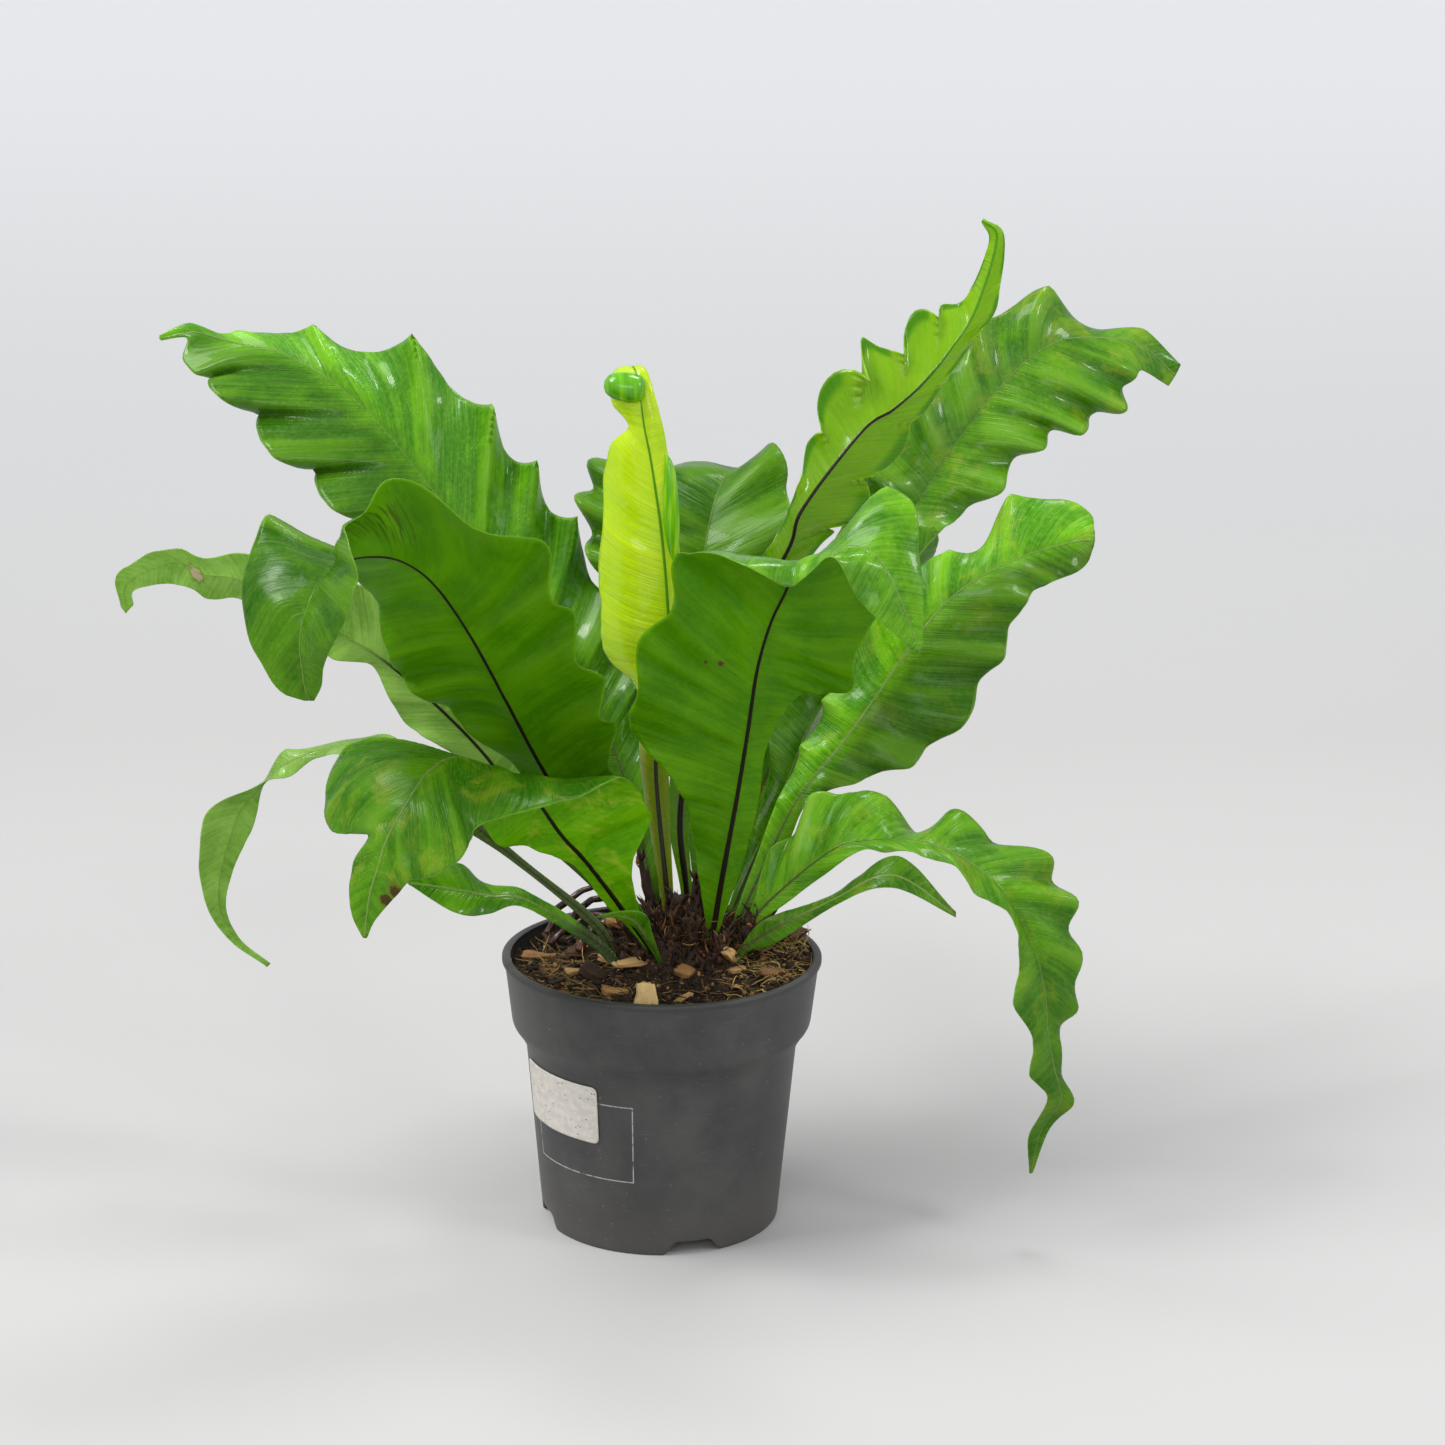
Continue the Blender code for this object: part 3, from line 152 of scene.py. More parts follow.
# Each frond's stations run from its foot to its tip, placed against the photograph. A station
# holds the midrib's point and, measured from that point, the left and right margins, as seen from the
# upper side by someone who looks along the frond towards its tip. Crests are where a margin's waves
# peak, as distances along the midrib. All are in mm. "wave" and "pleat" are the heights of the waves and
# of the pleats. "scallop" is how far the margin's outline follows its waves, "bulge" how far each half bows
# up, and "slant" how far the veins lean towards the tip, all as shares of the half width. An edge is
# "waves", "points" or "lobes"; its valley is how far from one crest to the next the trough lies.
FRONDS = {
    "frond_back_left": {
        "stations": (
            ((0, 24, 138), (-3, 0, 0), (3, 0, 0)), ((-4, 25, 168), (-3, 0, 0), (3, 0, 1)),
            ((-18, 45, 220), (-6, -2, -3), (11, 0, 8)), ((-40, 70, 269), (-16, -6, -15), (23, -2, 9)),
            ((-71, 95, 308), (-24, -10, -20), (37, -4, 21)),
            ((-105, 118, 342), (-30, -14, -24), (36, -6, 38)),
            ((-136, 140, 377), (-29, -16, -27), (33, -6, 42)),
            ((-162, 158, 404), (-34, -16, -30), (25, -2, 40)),
            ((-189, 174, 424), (-36, -14, -26), (8, 10, 21)),
            ((-218, 186, 437), (-32, -10, -18), (2, 14, 14)),
            ((-244, 195, 441), (-18, -6, -17), (-3, 8, 4)), ((-260, 199, 445), (-13, -3, -13), (-4, 5, 5)),
            ((-269, 201, 446), (-3, -1, -3), (-4, 3, 5)), ((-288, 204, 442), (1, 0, -1), (0, 0, 2)),
        ),
        "left_crests": (200, 245, 285, 325, 368, 414, 453),
        "right_crests": (185, 231, 261, 298, 354, 404, 446),
        "wave": 9.0, "scallop": 0.17, "slant": 0.95, "left_edge": "lobes", "right_edge": "points",
        "left_valley": 0.68,
    },
    "frond_left": {
        "stations": (
            ((-8, 4, 138), (3, 0, 0), (-3, 0, 0)), ((-13, 1, 167), (3, 0, 0), (-3, 0, 0)),
            ((-34, -12, 201), (7, -3, 6), (-5, 3, -4)), ((-63, -32, 258), (37, -12, 14), (-15, 8, -4)),
            ((-80, -46, 296), (48, -16, 10), (-29, 15, -12)),
            ((-97, -60, 333), (49, -18, 12), (-36, 20, -28)),
            ((-113, -74, 361), (52, -20, 22), (-28, 25, -34)),
            ((-127, -86, 375), (28, -20, 29), (-16, 32, -28)),
            ((-140, -97, 380), (8, -18, 39), (-14, 42, -18)),
            ((-153, -110, 380), (4, -26, 25), (-22, 44, 0)),
            ((-165, -122, 371), (23, -28, 13), (-30, 34, 23)),
            ((-171, -130, 357), (26, -24, 10), (-34, 26, 19)),
            ((-173, -134, 345), (19, -16, 6), (-27, 16, 5)), ((-172, -134, 333), (11, -6, 3), (-19, 8, -1)),
            ((-171, -133, 323), (8, -2, 2), (-12, 2, -2)), ((-169, -132, 317), (2, 0, 0), (-3, 0, 0)),
        ),
        "left_crests": (148, 186, 224, 261, 294),
        "right_crests": (140, 185, 230, 275, 330),
        "wave": 4.5, "scallop": 0.05,
    },
    "frond_left_far": {
        "stations": (
            ((-22, 16, 138), (2, 0, 2), (-2, 0, -2)), ((-30, 18, 170), (2, 0, 1), (-2, 0, -1)),
            ((-74, 23, 219), (8, -2, 5), (-7, 2, -6)), ((-95, 27, 247), (16, -5, 11), (-16, 4, -2)),
            ((-121, 32, 273), (24, -8, 16), (-18, 6, -11)), ((-148, 38, 295), (22, -10, 30), (-7, 8, -6)),
            ((-173, 44, 310), (12, -8, 24), (-7, 8, -16)), ((-199, 50, 322), (6, -6, 23), (-2, 8, -18)),
            ((-226, 55, 335), (0, -4, 14), (0, 8, -13)), ((-245, 58, 337), (-2, -3, 10), (0, 6, -16)),
            ((-261, 60, 343), (-5, -3, 8), (3, 5, -13)), ((-287, 63, 331), (-4, -6, 6), (4, 2, -4)),
            ((-289, 64, 314), (-2, -3, 5), (4, 2, 4)),
        ),
        "left_crests": (170, 236, 297, 324, 343, 363),
        "right_crests": (172, 209, 243, 319, 345),
        "wave": 4.0,
    },
    "frond_low_left": {
        "stations": (
            ((0, -6, 137), (3, 0, 0), (-3, 0, 0)), ((-8, -12, 155), (3, 0, 0), (-3, 0, 0)),
            ((-24, -19, 181), (10, -3, 1), (-6, 2, -2)), ((-39, -27, 204), (24, -8, 3), (-8, 4, -3)),
            ((-53, -36, 223), (46, -12, 12), (-17, 10, -11)),
            ((-66, -46, 245), (54, -16, 10), (-18, 14, -31)),
            ((-80, -60, 260), (49, -32, 4), (-19, 28, -26)),
            ((-94, -76, 272), (37, -34, -13), (-20, 40, -15)),
            ((-106, -90, 277), (19, -32, -24), (-30, 46, -6)),
            ((-116, -104, 273), (24, -24, -26), (-48, 44, 0)),
            ((-123, -114, 264), (24, -20, -26), (-47, 36, -9)),
            ((-130, -120, 253), (17, -16, -23), (-32, 28, -14)),
            ((-135, -124, 243), (13, -10, -15), (-9, 12, 1)),
            ((-138, -127, 233), (12, -5, -10), (-14, 11, -2)),
            ((-142, -129, 220), (10, -2, -4), (-11, 7, -1)), ((-144, -130, 207), (4, -1, -1), (-7, 4, -1)),
            ((-145, -130, 197), (1, 0, 0), (-1, 0, 0)),
        ),
        "left_crests": (100, 150, 196, 240, 290),
        "right_crests": (120, 165, 205, 250, 300),
        "wave": 2.5, "scallop": 0.03,
    },
    "frond_trailing_left": {
        "stations": (
            ((-24, 6, 139), (-2, 0, -2), (2, 0, 2)), ((-37, 12, 159), (-2, 0, -2), (2, 0, 2)),
            ((-85, 28, 194), (-2, 0, -2), (2, 0, 2)), ((-141, 42, 235), (-3, -12, -9), (3, 12, 8)),
            ((-166, 47, 245), (-2, -12, -3), (3, 12, 3)), ((-188, 50, 241), (1, -4, -2), (-4, 6, 0)),
            ((-204, 52, 234), (3, -4, -6), (-3, 6, 5)), ((-217, 53, 222), (0, -8, 3), (0, 6, -3)),
            ((-232, 52, 201), (-16, -6, 3), (9, 6, -3)), ((-242, 49, 161), (-7, -4, 0), (4, 4, -1)),
            ((-234, 48, 137), (-3, -2, 0), (2, 2, 0)), ((-215, 47, 121), (-1, 0, -1), (1, 0, 1)),
        ),
        "left_crests": (150, 190, 230, 262, 300),
        "right_crests": (170, 210, 250, 290),
        "wave": 3.0,
    },
    "frond_short_left": {
        "stations": (
            ((-22, -6, 138), (-2, -1, -1), (2, 1, 1)), ((-36, -4, 153), (-2, -2, -2), (2, 2, 2)),
            ((-72, -14, 179), (-1, -5, -2), (1, 6, 3)), ((-90, -20, 183), (-1, -8, -7), (-2, 10, 3)),
            ((-106, -26, 188), (-1, -10, -9), (-1, 14, 11)), ((-132, -35, 195), (1, 0, -1), (0, 0, 1)),
        ),
        "left_crests": (60, 105),
        "right_crests": (80, 118),
        "wave": 2.0,
    },
    "frond_young_middle": {
        "stations": (
            ((5, 13, 138), (3, 0, 0), (-3, 0, 0)), ((3, 12, 169), (3, 0, 0), (-3, 0, 0)),
            ((-4, 8, 244), (7, 5, -1), (-8, 5, -1)), ((-1, 5, 283), (9, 7, -2), (-12, 8, 3)),
            ((2, 3, 316), (6, 9, -2), (-32, 11, -11)), ((1, 2, 343), (7, 10, -8), (-35, 14, -9)),
            ((-2, 2, 374), (9, 6, 0), (-31, 15, -6)), ((-5, 3, 395), (9, 3, 1), (-27, 13, 1)),
            ((-8, 4, 413), (9, 2, 1), (-20, 8, 4)), ((-11, 5, 428), (10, 0, -3), (-8, 3, -1)),
            ((-13, 7, 442), (8, 0, -1), (-14, 2, -4)), ((-15, 11, 453), (6, 0, 0), (-14, 1, -5)),
            ((-17, 17, 456), (6, -1, 0), (-11, 1, -4)), ((-18, 24, 454), (5, -1, -1), (-10, 1, -4)),
            ((-18, 27, 448), (4, -1, -1), (-9, 1, -3)),
        ),
        "left_crests": (190, 245, 290, 330),
        "right_crests": (180, 225, 262, 310),
        "wave": 1.5, "pleat": 1.4, "scallop": 0.03, "bulge": -0.16, "young": True,
    },
    "frond_front": {
        "stations": (
            ((23, -2, 137), (3, 0, 0), (-3, 0, 0)), ((27, -7, 160), (3, 0, 0), (-4, 0, 0)),
            ((31, -12, 190), (8, 1, 0), (-12, 3, 0)), ((38, -24, 238), (11, 5, -6), (-27, 6, -3)),
            ((43, -36, 278), (11, 8, -6), (-57, 12, -3)), ((47, -48, 313), (22, 8, -16), (-61, 18, 0)),
            ((53, -58, 339), (40, 2, -34), (-51, 22, 5)), ((59, -66, 355), (40, -4, -27), (-53, 24, 13)),
            ((64, -76, 369), (42, 4, -17), (-52, 18, 8)), ((70, -89, 378), (39, 19, 7), (-33, -11, 0)),
            ((84, -101, 387), (22, 21, 27), (-24, -7, -17)), ((99, -110, 387), (20, 13, 18), (-19, -9, -2)),
            ((108, -116, 376), (15, 8, 11), (-16, -6, -9)), ((115, -119, 361), (9, 3, 5), (-12, -3, -5)),
            ((123, -120, 340), (1, 0, 1), (-2, 0, 0)),
        ),
        "left_crests": (116, 200, 262, 305, 340),
        "right_crests": (73, 147, 195, 228, 262, 305, 340),
        "wave": 3.0,
    },
    "frond_young_right": {
        "stations": (
            ((14, 22, 138), (3, 0, 0), (-3, 0, 0)), ((13, 22, 172), (3, 0, 0), (-3, 0, 0)),
            ((9, 19, 214), (5, 3, -1), (-6, 3, -1)), ((15, 15, 259), (7, 5, -4), (-8, 5, 1)),
            ((30, 12, 303), (11, 6, -6), (-10, 6, 4)), ((63, 10, 361), (15, 8, 0), (-8, 8, 3)),
            ((71, 11, 384), (23, 8, -7), (-5, 8, 4)), ((101, 16, 424), (18, 8, -9), (-18, 8, 11)),
            ((117, 19, 435), (15, 7, -4), (-16, 8, 26)), ((132, 22, 448), (12, 6, 1), (-15, 8, 15)),
            ((146, 25, 465), (14, 5, 6), (-10, 7, 18)), ((159, 28, 486), (11, 4, 3), (-6, 5, 4)),
            ((169, 32, 522), (4, 2, 1), (-4, 2, -3)), ((161, 32, 531), (1, 0, 1), (0, 0, -1)),
        ),
        "left_crests": (241, 265, 310, 341, 360, 390, 427),
        "right_crests": (219, 254, 286, 313, 342, 366, 386, 417),
        "wave": 6.0, "scallop": 0.5, "left_edge": "lobes", "right_edge": "lobes", "young": True,
    },
    "frond_back_right": {
        "stations": (
            ((28, 27, 138), (-3, 0, 0), (3, 0, 0)), ((32, 33, 162), (-3, 0, 1), (3, 0, -1)),
            ((43, 48, 197), (-8, 0, 3), (8, 0, -3)), ((61, 68, 237), (-13, 0, 7), (13, 0, -7)),
            ((83, 90, 280), (-17, 0, 10), (18, -4, -10)), ((108, 112, 319), (-23, -2, 16), (22, -8, -9)),
            ((133, 130, 353), (-30, -4, 10), (16, -10, -6)),
            ((159, 148, 391), (-38, -8, -1), (19, -12, -25)),
            ((182, 163, 419), (-30, -4, 9), (23, -14, -27)),
            ((205, 176, 440), (-25, 4, 21), (27, -16, -37)),
            ((225, 185, 449), (-15, 12, 27), (25, -16, -40)),
            ((246, 192, 449), (-6, 12, 7), (15, -14, -29)), ((269, 198, 445), (3, 8, 7), (0, -8, -14)),
            ((291, 200, 427), (3, 1, 6), (-4, -1, -6)),
        ),
        "left_crests": (255, 295, 341, 381, 415, 457),
        "right_crests": (225, 271, 322, 355, 382, 418, 449),
        "wave": 5.5, "pleat": 1.5, "scallop": 0.12, "slant": 0.85, "left_edge": "points",
        "right_valley": 0.6,
    },
    "frond_right": {
        "stations": (
            ((33, 9, 138), (-3, 0, 1), (3, 0, -1)), ((41, 12, 160), (-3, 0, 1), (3, 0, -1)),
            ((60, 17, 202), (-6, 3, 2), (6, -3, -1)), ((74, 20, 229), (-10, 6, 1), (5, -5, -2)),
            ((94, 24, 254), (-18, 10, 0), (17, -8, -15)), ((115, 28, 284), (-25, 12, -3), (30, -12, -28)),
            ((133, 33, 310), (-20, 14, 15), (35, -15, -22)),
            ((151, 37, 331), (-13, 14, 19), (30, -15, -17)), ((170, 41, 344), (-4, 16, 11), (21, -14, -10)),
            ((188, 46, 352), (-5, 18, 28), (14, -10, -12)), ((206, 50, 357), (3, 18, 24), (11, -6, -13)),
            ((220, 53, 360), (7, 12, 13), (5, -3, -11)), ((229, 55, 360), (0, 2, 4), (-1, -1, -4)),
        ),
        "left_crests": (163, 205, 242, 274, 302),
        "right_crests": (150, 187, 220, 251, 277, 299),
        "wave": 4.0, "pleat": 1.5, "scallop": 0.08, "left_edge": "points",
    },
    "frond_low_right": {
        "stations": (
            ((36, -1, 137), (-2, 1, 1), (2, -1, -1)), ((46, 3, 159), (-2, 1, 2), (2, -1, -1)),
            ((60, 0, 178), (-1, 10, 22), (7, -3, -2)), ((90, -8, 206), (3, 20, 29), (12, -8, 1)),
            ((109, -12, 212), (8, 22, 15), (8, -10, -2)), ((129, -17, 214), (8, 22, 0), (3, -12, -4)),
            ((147, -22, 211), (7, 22, 12), (2, -12, -4)), ((162, -27, 204), (16, 20, 10), (0, -12, -12)),
            ((176, -31, 192), (25, 17, 10), (2, -12, -6)), ((186, -34, 177), (27, 12, 9), (-4, -12, -3)),
            ((195, -37, 158), (22, 8, 2), (-9, -10, 0)), ((200, -39, 137), (18, 6, -6), (-18, -10, -1)),
            ((202, -40, 117), (8, 5, -1), (-8, -8, 0)), ((206, -41, 97), (5, 4, -3), (-14, -8, 0)),
            ((210, -42, 80), (7, 2, -3), (-7, -5, 3)), ((200, -42, 62), (5, 1, 1), (-6, -3, 0)),
            ((196, -42, 38), (1, 0, 1), (-1, 0, 1)),
        ),
        "left_crests": (75, 112, 150, 185, 209, 230, 254, 280, 304),
        "right_crests": (126, 159, 207, 247, 287, 321),
        "wave": 4.5, "scallop": 0.1,
    },
    "frond_short_right": {
        "stations": (
            ((33, -11, 138), (-2, 1, 1), (2, -1, -1)), ((43, -8, 150), (-2, 1, 1), (2, -1, -1)),
            ((57, -12, 162), (-1, 5, 6), (3, -4, -5)), ((89, -24, 183), (-1, 7, 0), (3, -4, 0)),
            ((119, -33, 200), (2, 8, 8), (0, -5, -5)), ((152, -41, 181), (0, 0, 2), (0, 0, -1)),
        ),
        "left_crests": (70, 118),
        "right_crests": (90, 140),
        "wave": 2.0,
    },
    "frond_back": {
        "stations": (
            ((17, 34, 138), (-3, 0, 0), (3, 0, 0)), ((20, 41, 166), (-3, 0, 0), (3, 0, 0)),
            ((18, 62, 246), (-13, -2, 0), (14, -2, 1)), ((18, 76, 293), (-29, -5, -2), (29, -5, 1)),
            ((22, 98, 347), (-62, -6, -5), (43, -10, -1)), ((31, 120, 377), (-75, 6, 0), (36, -6, 9)),
            ((40, 138, 381), (-65, 14, -1), (17, 4, 12)), ((49, 162, 375), (-49, 14, -1), (15, 6, 12)),
            ((55, 186, 355), (-30, 6, 1), (13, 4, 7)), ((60, 200, 326), (-3, 0, 1), (2, 0, 2)),
        ),
        "left_crests": (168, 220, 246, 267, 320),
        "right_crests": (190, 234, 272, 310),
        "wave": 6.0, "pleat": 1.6,
    },
    "frond_inner_right": {
        "stations": (
            ((31, 18, 138), (-2, 0, 1), (2, 0, -1)), ((36, 20, 159), (-2, 0, 1), (2, 0, -1)),
            ((66, 37, 228), (-10, 0, 3), (4, 14, -3)), ((75, 43, 251), (-19, 0, 7), (5, 20, -5)),
            ((86, 50, 272), (-21, 2, 5), (7, 26, -8)), ((101, 58, 298), (-20, 4, 11), (14, 24, -16)),
            ((119, 66, 325), (-15, 6, 13), (9, 20, -12)), ((135, 73, 345), (-9, 6, 15), (10, 12, -2)),
            ((147, 79, 358), (-2, 1, 4), (1, 1, -4)),
        ),
        "left_crests": (120, 165, 210),
        "right_crests": (140, 185, 230),
        "wave": 3.0,
    },
}

# How each frond's colours differ from the usual ones: its tones, how far along its rib turns green, how far
# along its dark rib shows, how bright its upper side ("top") and underside ("under") are near the foot and
# near the tip and how bright its left and right halves are ("sides"), all painted light and shade, how far
# its dark stem runs, how much yellow mottles it, how glossy its coat is, and whether its margin gets a dark
# rim of painted shade where it would roll up ("rolled"). Lengths are shares of the frond's own, and a usual
# stem is dark over STEM_SHARE.
STEM_SHARE = 0.1
LOOKS = {
    "frond_back_left": {"top": (0.72, 1.6), "sides": (0.55, 1.2)},
    "frond_left": {"top": (0.6, 0.75), "gloss": 0.3},
    "frond_left_far": {
        "rib_until": 0.5, "tone": "pale", "top": (1.0, 1.6), "under": (1.0, 1.6), "stem": 0.3
    },
    "frond_low_left": {"top": (0.9, 0.9), "under": (1.8, 1.5), "yellow": 0.45, "gloss": 0.2},
    "frond_trailing_left": {
        "rib_until": 0.3, "tone": "pale", "top": (1.0, 1.4), "under": (1.0, 1.4), "stem": 0.45
    },
    "frond_short_left": {"stem": 0.3},
    "frond_young_middle": {
        "green_from": 0.38, "tone": "young", "top": (1.1, 1.1), "under": (1.1, 1.1), "stem": 0.42,
        "gloss": 2.4,
    },
    "frond_front": {"top": (0.8, 1.4)},
    "frond_young_right": {
        "green_from": 0.72, "tone": "lime", "rolled": True, "top": (0.4, 1.2), "under": (0.4, 1.2),
        "gloss": 1.6,
    },
    "frond_back_right": {"top": (0.75, 1.05), "yellow": 0.4},
    "frond_right": {"top": (1.1, 1.35), "sides": (1.5, 0.5), "yellow": 0.25, "gloss": 0.6},
    "frond_low_right": {"top": (1.4, 0.7), "under": (1.5, 0.7), "yellow": 0.3, "gloss": 0.6},
    "frond_short_right": {"top": (0.75, 0.75), "yellow": 0.6, "gloss": 0.6},
    "frond_back": {"top": (0.75, 0.75), "under": (0.8, 0.8), "gloss": 0.4},
}

# A torn little leaf at the foot of the low left frond, too small to be a node of the model.
LITTLE_LEAF = {
    "stations": (
        ((0, -13, 143), (-1, 0, 0), (1, 0, 0)),
        ((-3, -16, 151), (-1.5, 0, -0.5), (1.5, 0, 0.5)),
        ((-8, -22, 162), (-2, 1, -1), (3, -1, 1.5)),
        ((-13, -27, 171), (-2, 1, -2), (5, -2, 5)),
        ((-18, -31, 176), (-2, 1, -3), (2, -2, 4)),
        ((-26, -34, 178), (0, 0, -1.6), (0, -1, 1.6)),
        ((-34, -38, 178), (0, 0, -0.5), (0, 0, 0.5)),
    ),
    "left_crests": (12, 40),
    "right_crests": (20, 50),
    "wave": 1.0,
}

# Damaged spots: distance along the midrib, distance across it (minus to the left), radius, in mm, and colour.
SPOTS = {
    "frond_left_far": ((322, 3, 4.5, "tan"),),
    "frond_low_left": ((278, -13, 4.5, "scorched"), (286, -9, 3.5, "scorched")),
    "frond_short_right": ((196, 0, 6, "scorched"),),
    "frond_front": ((184, 28, 1.3, "scorched"), (184, 20, 1.7, "scorched")),
    "frond_low_right": ((300, -12, 4, "scorched"),),
}
# Where spore lines show on an underside: a range along the midrib and one across it, mm.
SORI = {
    "frond_left": ((302, 338), (-36, -12)),
    "frond_back": ((180, 260), (-30, -8)),
}
SPOT_COLOURS = {"tan": (0.58, 0.47, 0.3), "scorched": (0.07, 0.025, 0.01)}

# Leaf colours in linear light: the deep tone, the usual tone, the pale tone, and light shining through.
# The deep tone also paints the shade in the folds' troughs, and the pale tone the highlights on their crests.
MATURE_TOP = ((0.02, 0.13, 0.0), (0.10, 0.30, 0.0), (0.24, 0.46, 0.05), (0.25, 0.60, 0.0))
MATURE_UNDER = ((0.045, 0.19, 0.0), (0.10, 0.30, 0.0), (0.18, 0.40, 0.0), (0.28, 0.62, 0.0))
PALE_TOP = ((0.09, 0.22, 0.01), (0.20, 0.38, 0.05), (0.36, 0.52, 0.18), (0.3, 0.6, 0.05))
YOUNG_TOP = ((0.16, 0.50, 0.0), (0.45, 0.72, 0.0), (0.62, 0.80, 0.12), (0.8, 1.0, 0.0))
YOUNG_UNDER = ((0.26, 0.56, 0.0), (0.58, 0.78, 0.0), (0.72, 0.84, 0.12), (0.95, 1.0, 0.0))
LIME_TOP = ((0.08, 0.27, 0.0), (0.20, 0.43, 0.0), (0.38, 0.58, 0.04), (0.42, 0.8, 0.0))
LIME_UNDER = ((0.09, 0.28, 0.0), (0.22, 0.45, 0.0), (0.40, 0.58, 0.04), (0.48, 0.82, 0.0))
TONES = {
    "mature": (MATURE_TOP, MATURE_UNDER),
    "pale": (PALE_TOP, PALE_TOP),
    "young": (YOUNG_TOP, YOUNG_UNDER),
    "lime": (LIME_TOP, LIME_UNDER),
}
DARK_RIB = (0.014, 0.008, 0.005)
GREEN_RIB = (0.10, 0.36, 0.0)
GLOSS_TINT = (0.8, 1.0, 0.65, 1.0)

DETAIL_SEED = 11


class Graph:
    """Adds shader nodes to one new material and links them."""

    def __init__(self, name):
        self.material = bpy.data.materials.new(name)
        self.material.use_nodes = True
        self.tree = self.material.node_tree
        self.tree.nodes.clear()
        self.output = self.add("OutputMaterial")

    def put(self, socket, value):
        if isinstance(value, bpy.types.NodeSocket):
            self.tree.links.new(value, socket)
        elif isinstance(value, tuple) and len(value) == 3 and socket.type == "RGBA":
            socket.default_value = (*value, 1.0)
        else:
            socket.default_value = value

    def add(self, kind, settings=None, **inputs):
        node = self.tree.nodes.new("ShaderNode" + kind)
        for key, value in (settings or {}).items():
            setattr(node, key, value)
        for key, value in inputs.items():
            self.put(node.inputs[key.replace("_", " ")], value)
        return node

    def attribute(self, name):
        """The three numbers of a point attribute."""
        found = self.add("Attribute", {"attribute_name": name})
        parts = self.add("SeparateXYZ", Vector=found.outputs["Vector"])
        return parts.outputs[0], parts.outputs[1], parts.outputs[2]

    def vector(self, x, y, z=0.0):
        return self.add("CombineXYZ", X=x, Y=y, Z=z).outputs[0]

    def math(self, operation, a, b=0.0, clamp=False):
        node = self.add("Math", {"operation": operation, "use_clamp": clamp})
        self.put(node.inputs[0], a)
        self.put(node.inputs[1], b)
        return node.outputs[0]

    def times(self, a, b):
        return self.math("MULTIPLY", a, b)

    def plus(self, a, b, clamp=False):
        return self.math("ADD", a, b, clamp)

    def smooth(self, value, low, high):
        """0 below low and 1 above high, smoothly between; falls where high is below low."""
        node = self.add("MapRange", {"interpolation_type": "SMOOTHSTEP"})
        for name, number in (("Value", value), ("From Min", low), ("From Max", high)):
            self.put(node.inputs[name], number)
        return node.outputs[0]

    def window(self, value, low, high, soft):
        """1 between low and high, 0 outside."""
        rise = self.smooth(value, low - soft, low + soft)
        return self.times(rise, self.smooth(value, high + soft, high - soft))

    def noise(self, vector, scale, detail=3.0, roughness=0.5, distortion=0.0):
        node = self.add(
            "TexNoise", Vector=vector, Scale=scale, Detail=detail, Roughness=roughness, Distortion=distortion
        )
        return node.outputs["Fac"]

    def cells(self, vector, scale):
        """The distance to the nearest of many scattered points."""
        return self.add("TexVoronoi", Vector=vector, Scale=scale).outputs["Distance"]

    def place(self):
        """Each point's place on its object, in metres."""
        return self.add("TexCoord").outputs["Object"]

    def scaled(self, vector, x, y, z):
        node = self.add("Mapping", Vector=vector)
        node.inputs["Scale"].default_value = (x, y, z)
        return node.outputs[0]

    def mix(self, share, a, b, blend="MIX"):
        node = self.add("Mix", {"data_type": "RGBA", "blend_type": blend})
        self.put(node.inputs[0], share)
        self.put(node.inputs[6], a)
        self.put(node.inputs[7], b)
        return node.outputs[2]

    def paint(self, colour, mask, strength, tint):
        """Lays a tint over the colour where the mask shows it."""
        return self.mix(self.times(mask, strength), colour, tint)

    def ramp(self, share, *stops):
        node = self.add("ValToRGB", Fac=share)
        while len(node.color_ramp.elements) < len(stops):
            node.color_ramp.elements.new(0.5)
        for element, (position, colour) in zip(node.color_ramp.elements, stops):
            element.position = position
            element.color = (*colour, 1.0)
        return node.outputs[0]

    def bump(self, height, distance_mm, strength):
        return self.add("Bump", Height=height, Distance=distance_mm * MM, Strength=strength).outputs[0]

    def principled(self, colour, roughness, normal=None, **constants):
        node = self.add("BsdfPrincipled", Base_Color=colour, Roughness=roughness, **constants)
        if normal is not None:
            self.put(node.inputs["Normal"], normal)
        return node.outputs[0]

    def finish(self, shader):
        self.put(self.output.inputs["Surface"], shader)
        return self.material


def leaf_spots(g, colour, across, along, spots, grain):
    """Paints the frond's damaged spots over its colour."""
    for where, side, radius, kind in spots:
        dx = g.math("SUBTRACT", across, side)
        dy = g.math("SUBTRACT", along, where)
        away = g.math("SQRT", g.plus(g.times(dx, dx), g.times(dy, dy)))
        rough = g.plus(away, g.times(g.math("SUBTRACT", grain, 0.5), radius * 1.6))
        mask = g.smooth(rough, radius, radius * 0.72)
        ring = g.smooth(rough, radius * 1.5, radius * 0.9)
        colour = g.paint(colour, ring, 0.6, (0.16, 0.17, 0.02))
        colour = g.mix(mask, colour, SPOT_COLOURS[kind])
    return colour


def leaf_flecks(g, colour, upper, flat, patches):
    """Pale specks in the mottled patches, and a few dark ones."""
    dots = g.cells(flat, 0.55)
    specks = g.times(g.smooth(dots, 0.26, 0.12), g.smooth(patches, 0.4, 0.6))
    colour = g.paint(colour, specks, 0.45 if upper else 0.12, (0.26, 0.48, 0.16))
    darker = g.smooth(g.cells(flat, 0.11), 0.09, 0.05)
    return g.paint(colour, darker, 0.35, (0.06, 0.07, 0.01))


